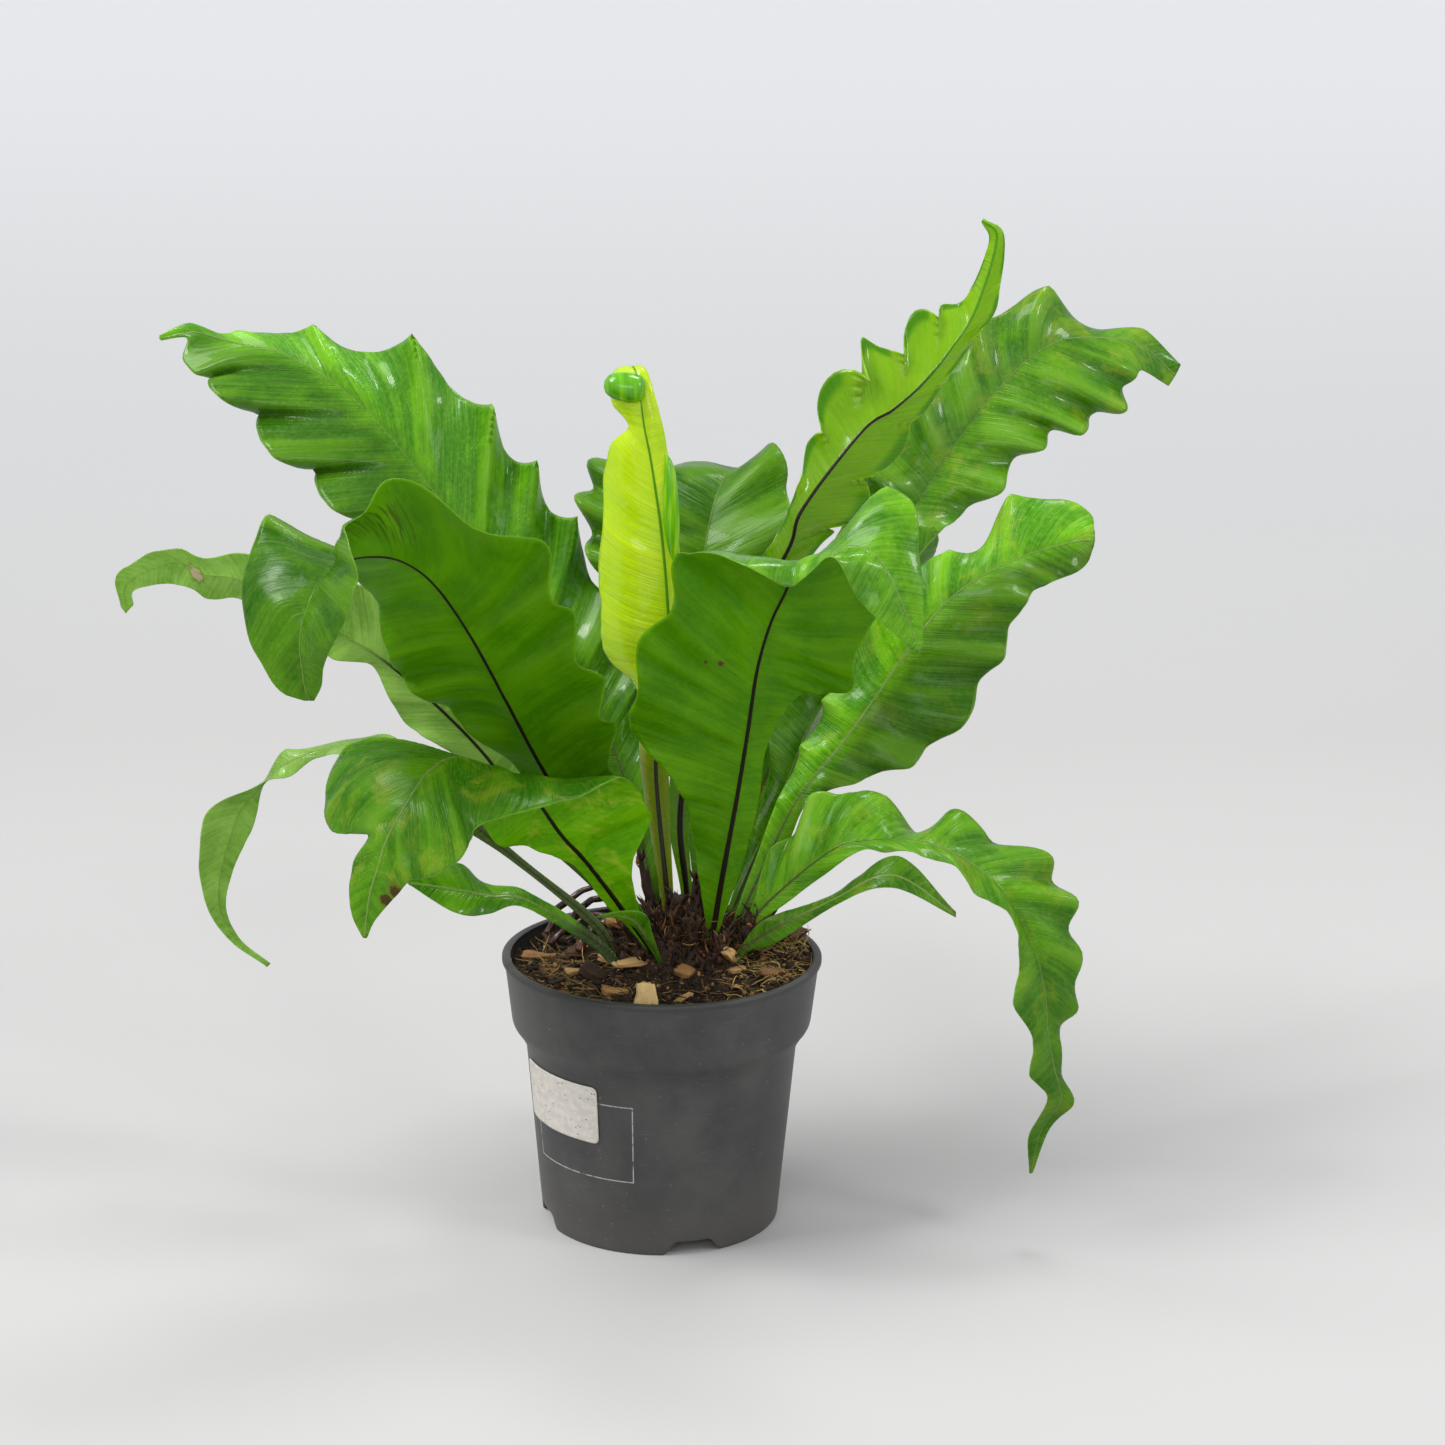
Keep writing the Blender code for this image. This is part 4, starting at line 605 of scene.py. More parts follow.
def leaf_painted_light_and_shade(g, colour, upper, look, across, run):
    """Paints light and shade: sets how bright one side is near its foot and its tip, and how bright its left
    and right halves are.
    """
    # Painted light and shade: the side darkens or brightens from its foot to its tip.
    near, far = look.get("top" if upper else "under", (1.0, 1.0))
    level = g.add("MapRange", Value=run, From_Min=0.3, From_Max=0.85, To_Min=near, To_Max=far).outputs[0]
    colour = g.mix(1.0, colour, level, "MULTIPLY")
    # Painted light and shade: one half darker than the other.
    if "sides" in look:
        left, right = look["sides"]
        half = g.add("MapRange", Value=across, From_Min=-8.0, From_Max=8.0, To_Min=left, To_Max=right)
        colour = g.mix(1.0, colour, half.outputs[0], "MULTIPLY")
    return colour


def leaf_sori(g, colour, across, slanted, place, ranges):
    """Dark oblique spore lines within a range along the blade and a range across it."""
    (low, high), (near, far) = ranges
    zone = g.times(g.window(place, low, high, 9), g.window(across, near, far, 6))
    lines = g.smooth(g.noise(g.scaled(slanted, 0.06, 0.8, 1), 1.0, 1.0), 0.5, 0.58)
    return g.paint(colour, g.times(zone, lines), 0.85, (0.05, 0.05, 0.008))


def leaf_rib(g, upper, look, rib, run):
    """The midrib's colour and where it shows: dull and broad above, dark or partly green below."""
    middle = g.math("ABSOLUTE", rib)
    if upper:
        colour = g.mix(g.smooth(run, 0.2, 0.5), (0.10, 0.09, 0.04), (0.24, 0.34, 0.09))
        return colour, g.times(g.smooth(middle, 0.8, 0.4), 0.85)
    if "green_from" in look:
        start = look["green_from"]
        colour = g.mix(g.smooth(run, start, start + 0.15), DARK_RIB, GREEN_RIB)
        return colour, g.smooth(middle, 1.05, 0.85)
    colour = g.mix(g.smooth(run, 0.6, 0.95), DARK_RIB, (0.06, 0.05, 0.012))
    mask = g.smooth(middle, 1.08, 0.85)
    if "rib_until" in look:
        end = look["rib_until"]
        mask = g.times(mask, g.plus(g.smooth(run, end + 0.1, end), 0.12, True))
    return colour, mask


def leaf_material(name, upper, look, spots=(), sori=None):
    """One side of a frond: oblique veins, mottling, specks, a midrib, gloss, light shining through, and
    painted light and shade: deep fold troughs, pale fold crests, and brightness set along it and across it.
    """
    g = Graph(name)
    young = "green_from" in look
    deep, usual, pale, through = TONES[look.get("tone", "mature")][0 if upper else 1]
    across, place, along = g.attribute("leaf")
    rib, run, share = g.attribute("rib")
    wave, pleat, _ = g.attribute("fold")
    flat, slanted = g.vector(across, along), g.vector(across, place)
    veins = g.noise(g.scaled(slanted, 0.035, 0.95, 1), 1.0, 2.0)
    folds = g.noise(g.scaled(slanted, 0.02, 0.16, 1), 1.0, 2.0)
    stripes = g.noise(g.scaled(slanted, 0.014, 0.34, 1), 1.0, 3.0, 0.6)
    patches = g.noise(flat, 0.035, 4.0, 0.6)
    grain = g.noise(flat, 0.4, 3.0, 0.6)
    tone = g.plus(g.times(patches, 0.6), g.times(folds, 0.2))
    tone = g.plus(tone, g.times(stripes, 0.3))
    # Painted shade and light: the troughs of the waves and pleats are painted deep and their crests lighter,
    # the other way round on the underside.
    painted_fold_shading = g.plus(g.times(wave, 0.11 if upper else -0.06), g.times(pleat, 0.3 if upper else -0.16))
    colour = g.mix(g.smooth(g.plus(tone, painted_fold_shading), 0.42, 0.68), deep, usual)
    # Painted highlight: the fold crests, and the stripes on them, are painted pale.
    ridge = g.smooth(g.plus(painted_fold_shading, g.times(stripes, 0.25)), 0.18, 0.4)
    colour = g.paint(colour, ridge, 0.5, pale)
    if young:
        colour = g.mix(0.55, colour, usual)
    colour = g.paint(colour, g.smooth(veins, 0.42, 0.68), 0.2, pale)
    colour = g.paint(colour, g.smooth(grain, 0.3, 0.75), 0.2, pale)
    if not young:
        colour = leaf_flecks(g, colour, upper, flat, patches)
    if "yellow" in look:
        blotches = g.smooth(g.noise(flat, 0.05, 5.0, 0.7, 0.6), 0.5, 0.66)
        colour = g.paint(colour, blotches, look["yellow"], (0.34, 0.42, 0.03))
    # Painted light and shade along the frond and across its two halves.
    colour = leaf_painted_light_and_shade(g, colour, upper, look, across, run)
    # Painted shade: a dark green rim on the margin's crests near its edge, where it would roll up.
    if look.get("rolled"):
        rolled = g.times(g.smooth(share, 0.76, 0.9), g.smooth(wave, 0.0, 0.5))
        colour = g.paint(colour, rolled, 0.8, (0.015, 0.17, 0.0))
    colour = g.paint(colour, g.smooth(share, 0.975, 0.995), 0.5, pale)
    if sori is not None:
        colour = leaf_sori(g, colour, across, slanted, place, sori)
    rib_colour, rib_mask = leaf_rib(g, upper, look, rib, run)
    colour = g.mix(rib_mask, colour, rib_colour)
    stem = look.get("stem", STEM_SHARE)
    foot = g.smooth(run, stem, stem - 0.1)
    colour = g.paint(colour, foot, 0.85 if "stem" in look else 0.55, (0.03, 0.035, 0.01))
    colour = leaf_spots(g, colour, across, along, spots, grain)
    height = g.plus(g.plus(veins, g.times(grain, 0.35)), g.times(stripes, 2.2))
    normal = g.bump(height, 0.42 if upper or young else 0.22, 0.8)
    if upper:
        roughness = g.plus(g.times(stripes, 0.36), 0.07)
    else:
        roughness = g.plus(g.times(patches, 0.22), 0.2 if young else 0.36)
    surface = g.principled(
        colour, roughness, normal, Specular_IOR_Level=0.2 if upper else 0.14, Specular_Tint=GLOSS_TINT,
        Coat_Weight=(0.36 if upper or young else 0.1) * look.get("gloss", 1.0), Coat_Roughness=0.1,
    )
    glow = g.mix(rib_mask, g.mix(g.smooth(veins, 0.4, 0.7), through, pale), rib_colour)
    back = g.add("BsdfTranslucent", Color=glow, Normal=normal)
    both = g.add("MixShader")
    both.inputs[0].default_value = 0.42 if young else 0.3
    g.put(both.inputs[1], surface)
    g.put(both.inputs[2], back.outputs[0])
    return g.finish(both.outputs[0])


def pot_material():
    """Charcoal polypropylene: dust, scuffs and soil marks, and the outline of a faded print."""
    g = Graph("pot_plastic_dusty")
    place = g.place()
    x, y, z = g.add("SeparateXYZ", Vector=place).outputs
    turn, height = g.times(g.math("ARCTAN2", y, x), math.degrees(1)), g.times(z, 1 / MM)
    cloud = g.noise(place, 22.0, 5.0, 0.65)
    fine = g.noise(place, 420.0, 3.0, 0.6)
    rubs = g.noise(g.scaled(place, 60, 60, 900), 1.0, 3.0, 0.6)
    colour = g.mix(g.smooth(cloud, 0.3, 0.7), (0.03, 0.03, 0.031), (0.06, 0.059, 0.057))
    low = g.smooth(g.plus(height, g.times(cloud, 60)), 75, 20)
    colour = g.paint(colour, low, 0.5, (0.085, 0.077, 0.067))
    colour = g.paint(colour, g.smooth(rubs, 0.6, 0.75), 0.2, (0.14, 0.14, 0.14))
    dust = g.smooth(g.cells(place, 330.0), 0.17, 0.06)
    dust = g.times(dust, g.smooth(g.noise(place, 75.0, 4.0, 0.7), 0.5, 0.72))
    colour = g.paint(colour, dust, 0.75, (0.3, 0.26, 0.2))
    rim = g.window(height, POT_HEIGHT - 3.4, POT_HEIGHT - 0.6, 0.4)
    colour = g.paint(colour, rim, 0.45, (0.015, 0.015, 0.015))
    soil = g.smooth(g.cells(g.scaled(place, 1, 1, 0.7), 75.0), 0.1, 0.05)
    soil = g.times(soil, g.smooth(height, 85, 135))
    colour = g.paint(colour, soil, 0.55, (0.05, 0.03, 0.015))
    ink = print_mask(g, turn, height)
    worn = g.smooth(g.noise(place, 260.0, 3.0, 0.7), 0.3, 0.5)
    colour = g.paint(colour, g.times(ink, worn), 0.75, (0.5, 0.5, 0.5))
    normal = g.bump(g.plus(fine, g.times(rubs, 0.4)), 0.12, 0.5)
    roughness = g.plus(g.times(cloud, 0.25), 0.36)
    return g.finish(g.principled(colour, roughness, normal, Specular_IOR_Level=0.45))


def print_mask(g, turn, height):
    """A thin printed frame on the pot's wall, left empty."""
    masks = []
    for in_turn, in_height in ((0, 0), PRINT_LINE):
        across = g.window(turn, PRINT_TURN[0] + in_turn, PRINT_TURN[1] - in_turn, 0.1)
        masks.append(g.times(across, g.window(height, PRINT_Z[0] + in_height, PRINT_Z[1] - in_height, 0.12)))
    return g.math("SUBTRACT", *masks, clamp=True)


def paper_material():
    """The label's worn paper, with dark marks and smears."""
    g = Graph("sticker_paper_worn")
    turn, height, _ = g.attribute("wall")
    flat = g.vector(turn, height)
    cloud = g.noise(flat, 0.25, 4.0, 0.6)
    colour = g.mix(g.smooth(cloud, 0.35, 0.7), (0.5, 0.47, 0.43), (0.6, 0.57, 0.52))
    marks = g.smooth(g.cells(g.scaled(flat, 0.5, 0.62, 1), 0.75), 0.22, 0.14)
    marks = g.times(marks, g.smooth(g.noise(flat, 0.12), 0.46, 0.54))
    colour = g.paint(colour, marks, 0.85, (0.09, 0.08, 0.075))
    smears = g.smooth(g.noise(g.scaled(flat, 0.2, 1.4, 1), 1.0, 3.0), 0.62, 0.72)
    colour = g.paint(colour, smears, 0.35, (0.35, 0.33, 0.3))
    fibres = g.noise(flat, 6.0, 2.0)
    return g.finish(g.principled(colour, 0.62, g.bump(fibres, 0.05, 0.4), Specular_IOR_Level=0.35))


def toned_material(name, stops, roughness, grain_scale, bump_mm, stretch=(1, 1, 1), fibrous=False):
    """A material whose colour follows each shape's own tone, broken up by a grain or by fibres along it."""
    g = Graph(name)
    tone, side, up = g.attribute("tone")
    place = g.place()
    grain = g.noise(g.scaled(place, *stretch), grain_scale, 4.0, 0.65)
    if fibrous:
        fibres = g.noise(g.vector(side, up, g.add("SeparateXYZ", Vector=place).outputs[0]), 1.6, 3.0, 0.7)
        grain = g.plus(g.times(grain, 0.35), g.times(fibres, 0.65))
    shade = g.plus(tone, g.times(g.math("SUBTRACT", grain, 0.5), 0.35), clamp=True)
    dark = g.smooth(g.noise(place, 900.0, 2.0), 0.62, 0.75)
    colour = g.paint(g.ramp(shade, *stops), dark, 0.5, (0.012, 0.007, 0.004))
    normal = g.bump(grain, bump_mm, 0.8)
    wet = g.plus(g.times(grain, 0.3), roughness)
    return g.finish(g.principled(colour, wet, normal, Specular_IOR_Level=0.3))


def floor_material():
    """Pale paper, with painted light that makes it brighter and bluer with distance."""
    g = Graph("floor_paper")
    place = g.place()
    cloud = g.noise(place, 1.3, 4.0, 0.55)
    colour = g.mix(g.smooth(cloud, 0.3, 0.7), (0.463, 0.462, 0.46), (0.471, 0.47, 0.468))
    # Painted light: the paper turns brighter and bluer with distance.
    depth = g.add("SeparateXYZ", Vector=place).outputs[1]
    beyond = g.math("MAXIMUM", g.math("SUBTRACT", depth, 1.0), 0.0)
    share = g.math("SUBTRACT", 1.0, g.math("EXPONENT", g.times(beyond, -1 / 2.6)))
    colour = g.mix(share, colour, (0.71, 0.72, 0.745))
    return g.finish(g.principled(colour, 0.8, Specular_IOR_Level=0.1))


def mesh_piece(name, points, faces, materials, attributes=None, face_materials=None, smooth=True):
    """A mesh from points in mm and equal faces, with point attributes of three numbers each."""
    points, faces = np.asarray(points, float), np.asarray(faces, int)
    mesh = bpy.data.meshes.new(name)
    mesh.vertices.add(len(points))
    mesh.vertices.foreach_set("co", (points * MM).ravel())
    corners = faces.shape[1]
    mesh.loops.add(faces.size)
    mesh.loops.foreach_set("vertex_index", faces.ravel())
    mesh.polygons.add(len(faces))
    mesh.polygons.foreach_set("loop_start", np.arange(0, faces.size, corners))
    mesh.update(calc_edges=True)
    for key, values in (attributes or {}).items():
        layer = mesh.attributes.new(key, "FLOAT_VECTOR", "POINT")
        layer.data.foreach_set("vector", np.asarray(values, float).ravel())
    for material in materials:
        mesh.materials.append(material)
    if face_materials is not None:
        mesh.polygons.foreach_set("material_index", face_materials)
    if smooth:
        mesh.shade_smooth()
    piece = bpy.data.objects.new(name, mesh)
    bpy.context.scene.collection.objects.link(piece)
    return piece


def place_piece(piece, slot, *nodes):
    """Rides on the one body and stands for the nodes; the slot is not used."""
    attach(piece, "root")
    if nodes:
        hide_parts(*nodes)


def unit(vectors):
    """The vectors at length 1."""
    return vectors / np.maximum(np.linalg.norm(vectors, axis=-1, keepdims=True), 1e-9)


def spline(points, places):
    """A Catmull-Rom curve through the points, read at places that count the points from 0."""
    points = np.asarray(points, float)
    last = len(points) - 1
    i = np.minimum(places.astype(int), last - 1)
    f = (places - i)[:, None]
    here, there = points[i], points[i + 1]
    before = np.where(i[:, None] > 0, points[np.maximum(i - 1, 0)], 2 * points[0] - points[1])
    after = np.where(
        i[:, None] + 2 <= last, points[np.minimum(i + 2, last)], 2 * points[last] - points[last - 1]
    )
    return 0.5 * (
        2 * here
        + (there - before) * f
        + (2 * before - 5 * here + 4 * there - after) * f**2
        + (3 * here - before - 3 * there + after) * f**3
    )


def places_along(midrib):
    """Fine places along the midrib, and how far along it each lies in mm."""
    fine = np.linspace(0, len(midrib) - 1, 24 * len(midrib))
    path = spline(midrib, fine)
    run = np.concatenate([[0], np.cumsum(np.linalg.norm(np.diff(path, axis=0), axis=1))])
    return fine, run


def wave_shape(along, crests, edge, valley):
    """A margin's waves: 1 on its crests and -1 in its troughs."""
    pitch = (crests[-1] - crests[0]) / (len(crests) - 1)
    tops = np.array([crests[0] - 2 * pitch, crests[0] - pitch, *crests, crests[-1] + pitch])
    lows = tops[:-1] + valley * np.diff(tops)
    marks = np.empty(len(tops) + len(lows))
    marks[0::2], marks[1::2] = tops, lows
    turn = math.pi * np.interp(along, marks, np.arange(len(marks)) / 2)
    if edge == "points":
        return 1 - 2 * np.abs(np.sin(turn)) ** 0.8
    if edge == "lobes":
        return 2 * np.abs(np.cos(turn)) ** 0.6 - 1
    return np.cos(2 * turn)


def noise_at(x, y, z):
    """Smooth noise at one place."""
    return noise.noise(Vector((x, y, z)))


def smooth_noise(x, y, seed):
    """Noise over two arrays of the same shape."""
    values = [noise_at(a, b, seed) for a, b in zip(np.ravel(x), np.ravel(y))]
    return np.array(values).reshape(np.shape(x))


# Columns on each side of the midrib: those on the keel as shares of its half width, then the blade's.
KEEL_COLUMNS = (0.0, 0.4, 0.75, 1.0, 1.5)
BLADE_COLUMNS = 19


def column_shares(width, keel):
    """Each row's columns on one side, as shares of the blade's half width there."""
    keel_part = np.asarray(KEEL_COLUMNS)[None, :] * keel[:, None]
    steps = np.linspace(0, 1, BLADE_COLUMNS + 1)[1:] ** 0.92
    blade_part = keel_part[:, -1:] + (width[:, None] - keel_part[:, -1:]) * steps[None, :]
    return np.concatenate([keel_part, blade_part], axis=1) / np.maximum(width, 1e-6)[:, None]


def blade_side(frond, side, midrib, reach, forward, rows, total, seed):
    """One half of the blade's middle surface, from the midrib out, with what its material reads."""
    width = np.linalg.norm(reach, axis=1)
    keel = np.minimum(KEEL_TIP_WIDTH + KEEL_FOOT_WIDTH * np.exp(-rows / KEEL_FADE), 0.42 * width)
    share = column_shares(width, keel)
    out = unit(np.cross(forward, -side * reach))
    along = np.repeat(rows[:, None], share.shape[1], axis=1)
    place = along + (1 - share) * frond.get("slant", VEIN_SLANT) * width[:, None]
    key = "left" if side < 0 else "right"
    crest = wave_shape(
        place, frond[key + "_crests"], frond.get(key + "_edge", "waves"), frond.get(key + "_valley", 0.5)
    )
    fade = (np.clip(width / FULL_WAVE_WIDTH, 0, 1) * np.clip((total - rows) / TIP_CALM, 0.15, 1))[:, None]
    lift = frond.get("bulge", BULGE) * width[:, None] * np.sin(math.pi * share)
    lift = lift + frond["wave"] * fade * crest * share**1.5
    across = share * width[:, None]
    pleat = smooth_noise(place / PLEAT_STEP, across / 60, seed) * np.clip(across / 12, 0, 1) * fade
    fine = smooth_noise(place / RIPPLE_STEP, across / 30, seed + 7) * np.clip(across / 10, 0, 1)
    ripple = frond.get("pleat", PLEAT) * pleat + RIPPLE_HEIGHT * fine
    nick = smooth_noise(place / 7, side * share, seed + 3) * NICK_DEPTH * fade * share**6
    scallop = frond.get("scallop", SCALLOP)
    spread = share * (1 + scallop * crest * fade * share) + nick / np.maximum(width, 8)[:, None]
    points = midrib[:, None] + reach[:, None] * spread[..., None] + out[:, None] * (lift + ripple)[..., None]
    rib = across / np.maximum(keel, 0.1)[:, None]
    leaf = np.stack([side * across, place, along], -1)
    ribs = np.stack([side * rib, along / total, share], -1)
    # The waves' crests and the pleats, which the material turns into painted shade and light.
    folds = np.stack([crest * share, pleat, 0 * share], -1)
    return points, leaf, ribs, folds, keel


def frond_piece(name, frond, seed):
    """The fine blade of one frond: two skins, a thin rim, and a keel under the midrib."""
    midrib, left, right = ([station[k] for station in frond["stations"]] for k in range(3))
    fine, run = places_along(midrib)
    total = run[-1]
    rows = np.linspace(0, total, round(total / ROW_STEP) + 1)
    places = np.interp(rows, run, fine)
    midrib, left, right = spline(midrib, places), spline(left, places), spline(right, places)
    forward = unit(np.gradient(midrib, rows, axis=0))
    upper = unit(np.cross(forward, unit(left) - unit(right)))
    halves = [
        blade_side(frond, side, midrib, reach, forward, rows, total, seed)
        for side, reach in ((-1, left), (1, right))
    ]
    points, leaf, ribs, folds = (
        np.concatenate([halves[0][k][:, :0:-1], halves[1][k]], axis=1) for k in range(4)
    )
    normals = surface_normals(points, upper)
    half = 0.5 * (BLADE_THICK + (STEM_THICK - BLADE_THICK) * np.exp(-rows / STEM_FADE))[:, None]
    half = half * (1 - 0.45 * ribs[..., 2] ** 10)
    mound = np.sqrt(np.clip(1 - ribs[..., 0] ** 2, 0, 1))
    height = (KEEL_HEIGHT * np.clip(1 - rows / total, 0.12, 1))[:, None] * mound
    top = points + normals * (half + 0.22 * mound)[..., None]
    low = points - normals * (half + height)[..., None]
    skin_piece(name, frond, top, low, {"leaf": leaf, "rib": ribs, "fold": folds})


def surface_normals(points, upper):
    """Each point's normal, on the side that the blade's upper side faces."""
    normals = unit(np.cross(np.gradient(points, axis=0), np.gradient(points, axis=1)))
    return normals * np.sign((normals * upper[:, None]).sum())


def two_skins(n, m):
    """Faces of two skins of n by m points, joined round their border, and how many lie on each skin."""
    grid = np.arange(n * m).reshape(n, m)
    quads = np.stack([grid[:-1, :-1], grid[1:, :-1], grid[1:, 1:], grid[:-1, 1:]], -1).reshape(-1, 4)
    border = np.concatenate([grid[0], grid[1:, -1], grid[-1, -2::-1], grid[-2:0:-1, 0]])
    after = np.roll(border, -1)
    rim = np.stack([border, after, after + n * m, border + n * m], 1)
    return np.concatenate([quads, quads[:, ::-1] + n * m, rim]), len(quads)


def skin_piece(name, frond, top, low, fields):
    """Joins the two skins round their border and gives each side its material."""
    faces, count = two_skins(*top.shape[:2])
    points = np.concatenate([top.reshape(-1, 3), low.reshape(-1, 3)])
    corners = points[faces]
    volume = np.einsum("ij,ij->", corners[:, 0], np.cross(corners[:, 1], corners[:, 2]))
    if volume < 0:
        faces = faces[:, ::-1]
    sides = np.zeros(len(faces), int)
    sides[count:2 * count] = 1
    attributes = {key: np.tile(value.reshape(-1, 3), (2, 1)) for key, value in fields.items()}
    look, spots = LOOKS.get(name, {}), SPOTS.get(name, ())
    short = name.replace("frond_", "leaf_")
    materials = [
        leaf_material(short + "_upper_side", True, look, spots),
        leaf_material(short + "_under_side", False, look, spots, SORI.get(name)),
    ]
    piece = mesh_piece(short, points, faces, materials, attributes, sides)
    nodes = [name] if name in FRONDS else []
    place_piece(piece, "young_frond_lime" if frond.get("young") else "frond_green", *nodes)


ROLL_STEPS = 48
ROLL_SIDES = 28

# The young middle frond's tip is rolled up, and so is its right margin below: points and radii, mm.
TIP_ROLL = (
    ((-11, 4.4, 447.0), 4.0), ((-13, 4.5, 447.1), 6.6), ((-18, 4.6, 447.4), 7.6), ((-23, 4.9, 448.0), 7.3),
    ((-27, 5.1, 448.6), 6.4), ((-30, 5.3, 449.0), 4.6), ((-31.5, 5.4, 449.2), 2.0),
)
MARGIN_ROLL = (
    ((0, 5, 414), 0.6), ((2, 4, 406), 2.6), ((2.6, 4, 392), 4.0), ((3, 5, 377), 4.6), ((3.4, 6, 363), 3.8),
    ((4, 7, 352), 2.0), ((4.4, 7.6, 344), 0.5),
)


def roll_material():
    """The glossy skin of a young frond where it is rolled: dark green, limy in its creases."""
    g = Graph("young_roll_glossy")
    tone, _, _ = g.attribute("tone")
    lines = g.noise(g.scaled(g.place(), 330, 40, 40), 1.0, 2.0, 0.5)
    shade = g.plus(tone, g.times(g.math("SUBTRACT", lines, 0.5), 0.9), clamp=True)
    colour = g.ramp(shade, (0.1, (0.015, 0.13, 0.0)), (0.5, (0.12, 0.42, 0.0)), (0.9, (0.45, 0.68, 0.0)))
    normal = g.bump(lines, 0.12, 0.4)
    return g.finish(g.principled(colour, 0.2, normal, Specular_IOR_Level=0.5))


def young_roll_piece():
    """The rolled tip and rolled margin of the young middle frond."""
    rolls = Pile()
    for roll, tone in ((TIP_ROLL, 0.4), (MARGIN_ROLL, 0.55)):
        places = np.linspace(0, len(roll) - 1, ROLL_STEPS)
        path = spline([point for point, _ in roll], places)
        radii = spline([(radius, 0, 0) for _, radius in roll], places)[:, 0]
        rolls.add(*tube(path, radii, ROLL_SIDES), tone)
    place_piece(rolls.piece("leaf_young_middle_rolls", roll_material(), smooth=True), "young_frond_lime")


def pot_profile():
    """The pot's wall from the floor's middle, up the inside, over the lip and down the outside, in mm."""
    inner_base, inner_band, lip_foot = BASE_RADIUS - WALL, BAND_FOOT_RADIUS - WALL, POT_HEIGHT - LIP_HEIGHT
    inside = [
        (0.0, FLOOR_TOP_Z), (inner_base - 1.2, FLOOR_TOP_Z), (inner_base + 0.9, FLOOR_TOP_Z + 1.5),
        (SHOULDER_RADIUS - WALL, SHOULDER_Z), (inner_band - 2.2, BAND_FOOT_Z - 3.5),
        (inner_band, BAND_FOOT_Z), (BAND_TOP_RADIUS - WALL, lip_foot),
    ]
    lip = [
        (RIM_RADIUS - 2.4 + 2.4 * math.sin(math.radians(a)), POT_HEIGHT - 1.0 + math.cos(math.radians(a)))
        for a in (-60, -35, -10, 15, 40, 65, 85)
    ]
    outside = [
        (RIM_RADIUS, POT_HEIGHT - 1.6), (RIM_RADIUS, lip_foot + 0.6), (RIM_RADIUS - 0.3, lip_foot + 0.1),
        (BAND_TOP_RADIUS, lip_foot - 0.2), (BAND_TOP_RADIUS - 0.2, lip_foot - 1.2),
        (BAND_FOOT_RADIUS + 0.1, BAND_FOOT_Z + 0.8), (BAND_FOOT_RADIUS - 0.1, BAND_FOOT_Z - 0.3),
        (BAND_FOOT_RADIUS - 0.5, BAND_FOOT_Z - 1.6), (BAND_FOOT_RADIUS - 1.3, BAND_FOOT_Z - 3.2),
        (BAND_FOOT_RADIUS - 2.6, BAND_FOOT_Z - 4.6), (SHOULDER_RADIUS + 2.4, SHOULDER_Z + 4.6),
        (SHOULDER_RADIUS + 0.7, SHOULDER_Z + 1.6), (SHOULDER_RADIUS, SHOULDER_Z - 0.6),
    ]
    return inside + lip + outside


def wall_radius(height):
    """The pot's outer radius below its shoulder, mm."""
    return BASE_RADIUS + (SHOULDER_RADIUS - BASE_RADIUS) * height / SHOULDER_Z


def ring_quads(rings, steps):
    """Quads between closed rings of points that follow each other."""
    grid = np.arange(rings * steps).reshape(rings, steps)
    beside = np.roll(grid, -1, axis=1)
    return np.stack([grid[:-1], beside[:-1], beside[1:], grid[1:]], -1).reshape(-1, 4)


def capped_rings(rings, steps):
    """Triangles between rings and over both ends, whose two middle points come after the rings' points."""
    quads = ring_quads(rings, steps)
    first = np.arange(steps)
    last = first + (rings - 1) * steps
    middle = np.full(steps, rings * steps)
    caps = [(middle, np.roll(first, -1), first), (middle + 1, last, np.roll(last, -1))]
    return np.concatenate([quads[:, [0, 1, 2]], quads[:, [0, 2, 3]], *(np.stack(cap, 1) for cap in caps)])


def turned(profile, steps, foot_height=None):
    """A lathed grid of quads from a profile of (radius, height), in mm."""
    turns = np.linspace(0, 2 * math.pi, steps, endpoint=False)
    radius, height = (np.repeat(values[:, None], steps, axis=1) for values in np.array(profile).T)
    if foot_height is not None:
        height = foot_height(height, turns[None, :])
    points = np.stack([radius * np.cos(turns), radius * np.sin(turns), height], -1)
    return points.reshape(-1, 3), ring_quads(len(profile), steps)


def notch_opening(turns):
    """How high the skirt's foot is lifted at each angle, mm."""
    opening = np.zeros_like(turns)
    for notch in NOTCH_TURNS:
        away = (turns - math.radians(notch) + math.pi) % (2 * math.pi) - math.pi
        offset = np.abs(away) * BASE_RADIUS
        slope = (NOTCH_FOOT_WIDTH / 2 - offset) / ((NOTCH_FOOT_WIDTH - NOTCH_TOP_WIDTH) / 2)
        opening = np.maximum(opening, NOTCH_HEIGHT * np.clip(slope, 0, 1))
    return opening


def lift_foot(height, turns):
    """Moves the skirt's lowest rows up over the notches."""
    opening = notch_opening(turns)
    room = NOTCH_HEIGHT + NOTCH_ROOM
    lifted = opening + height * (room - opening) / room
    return np.where(height < room, lifted, height)


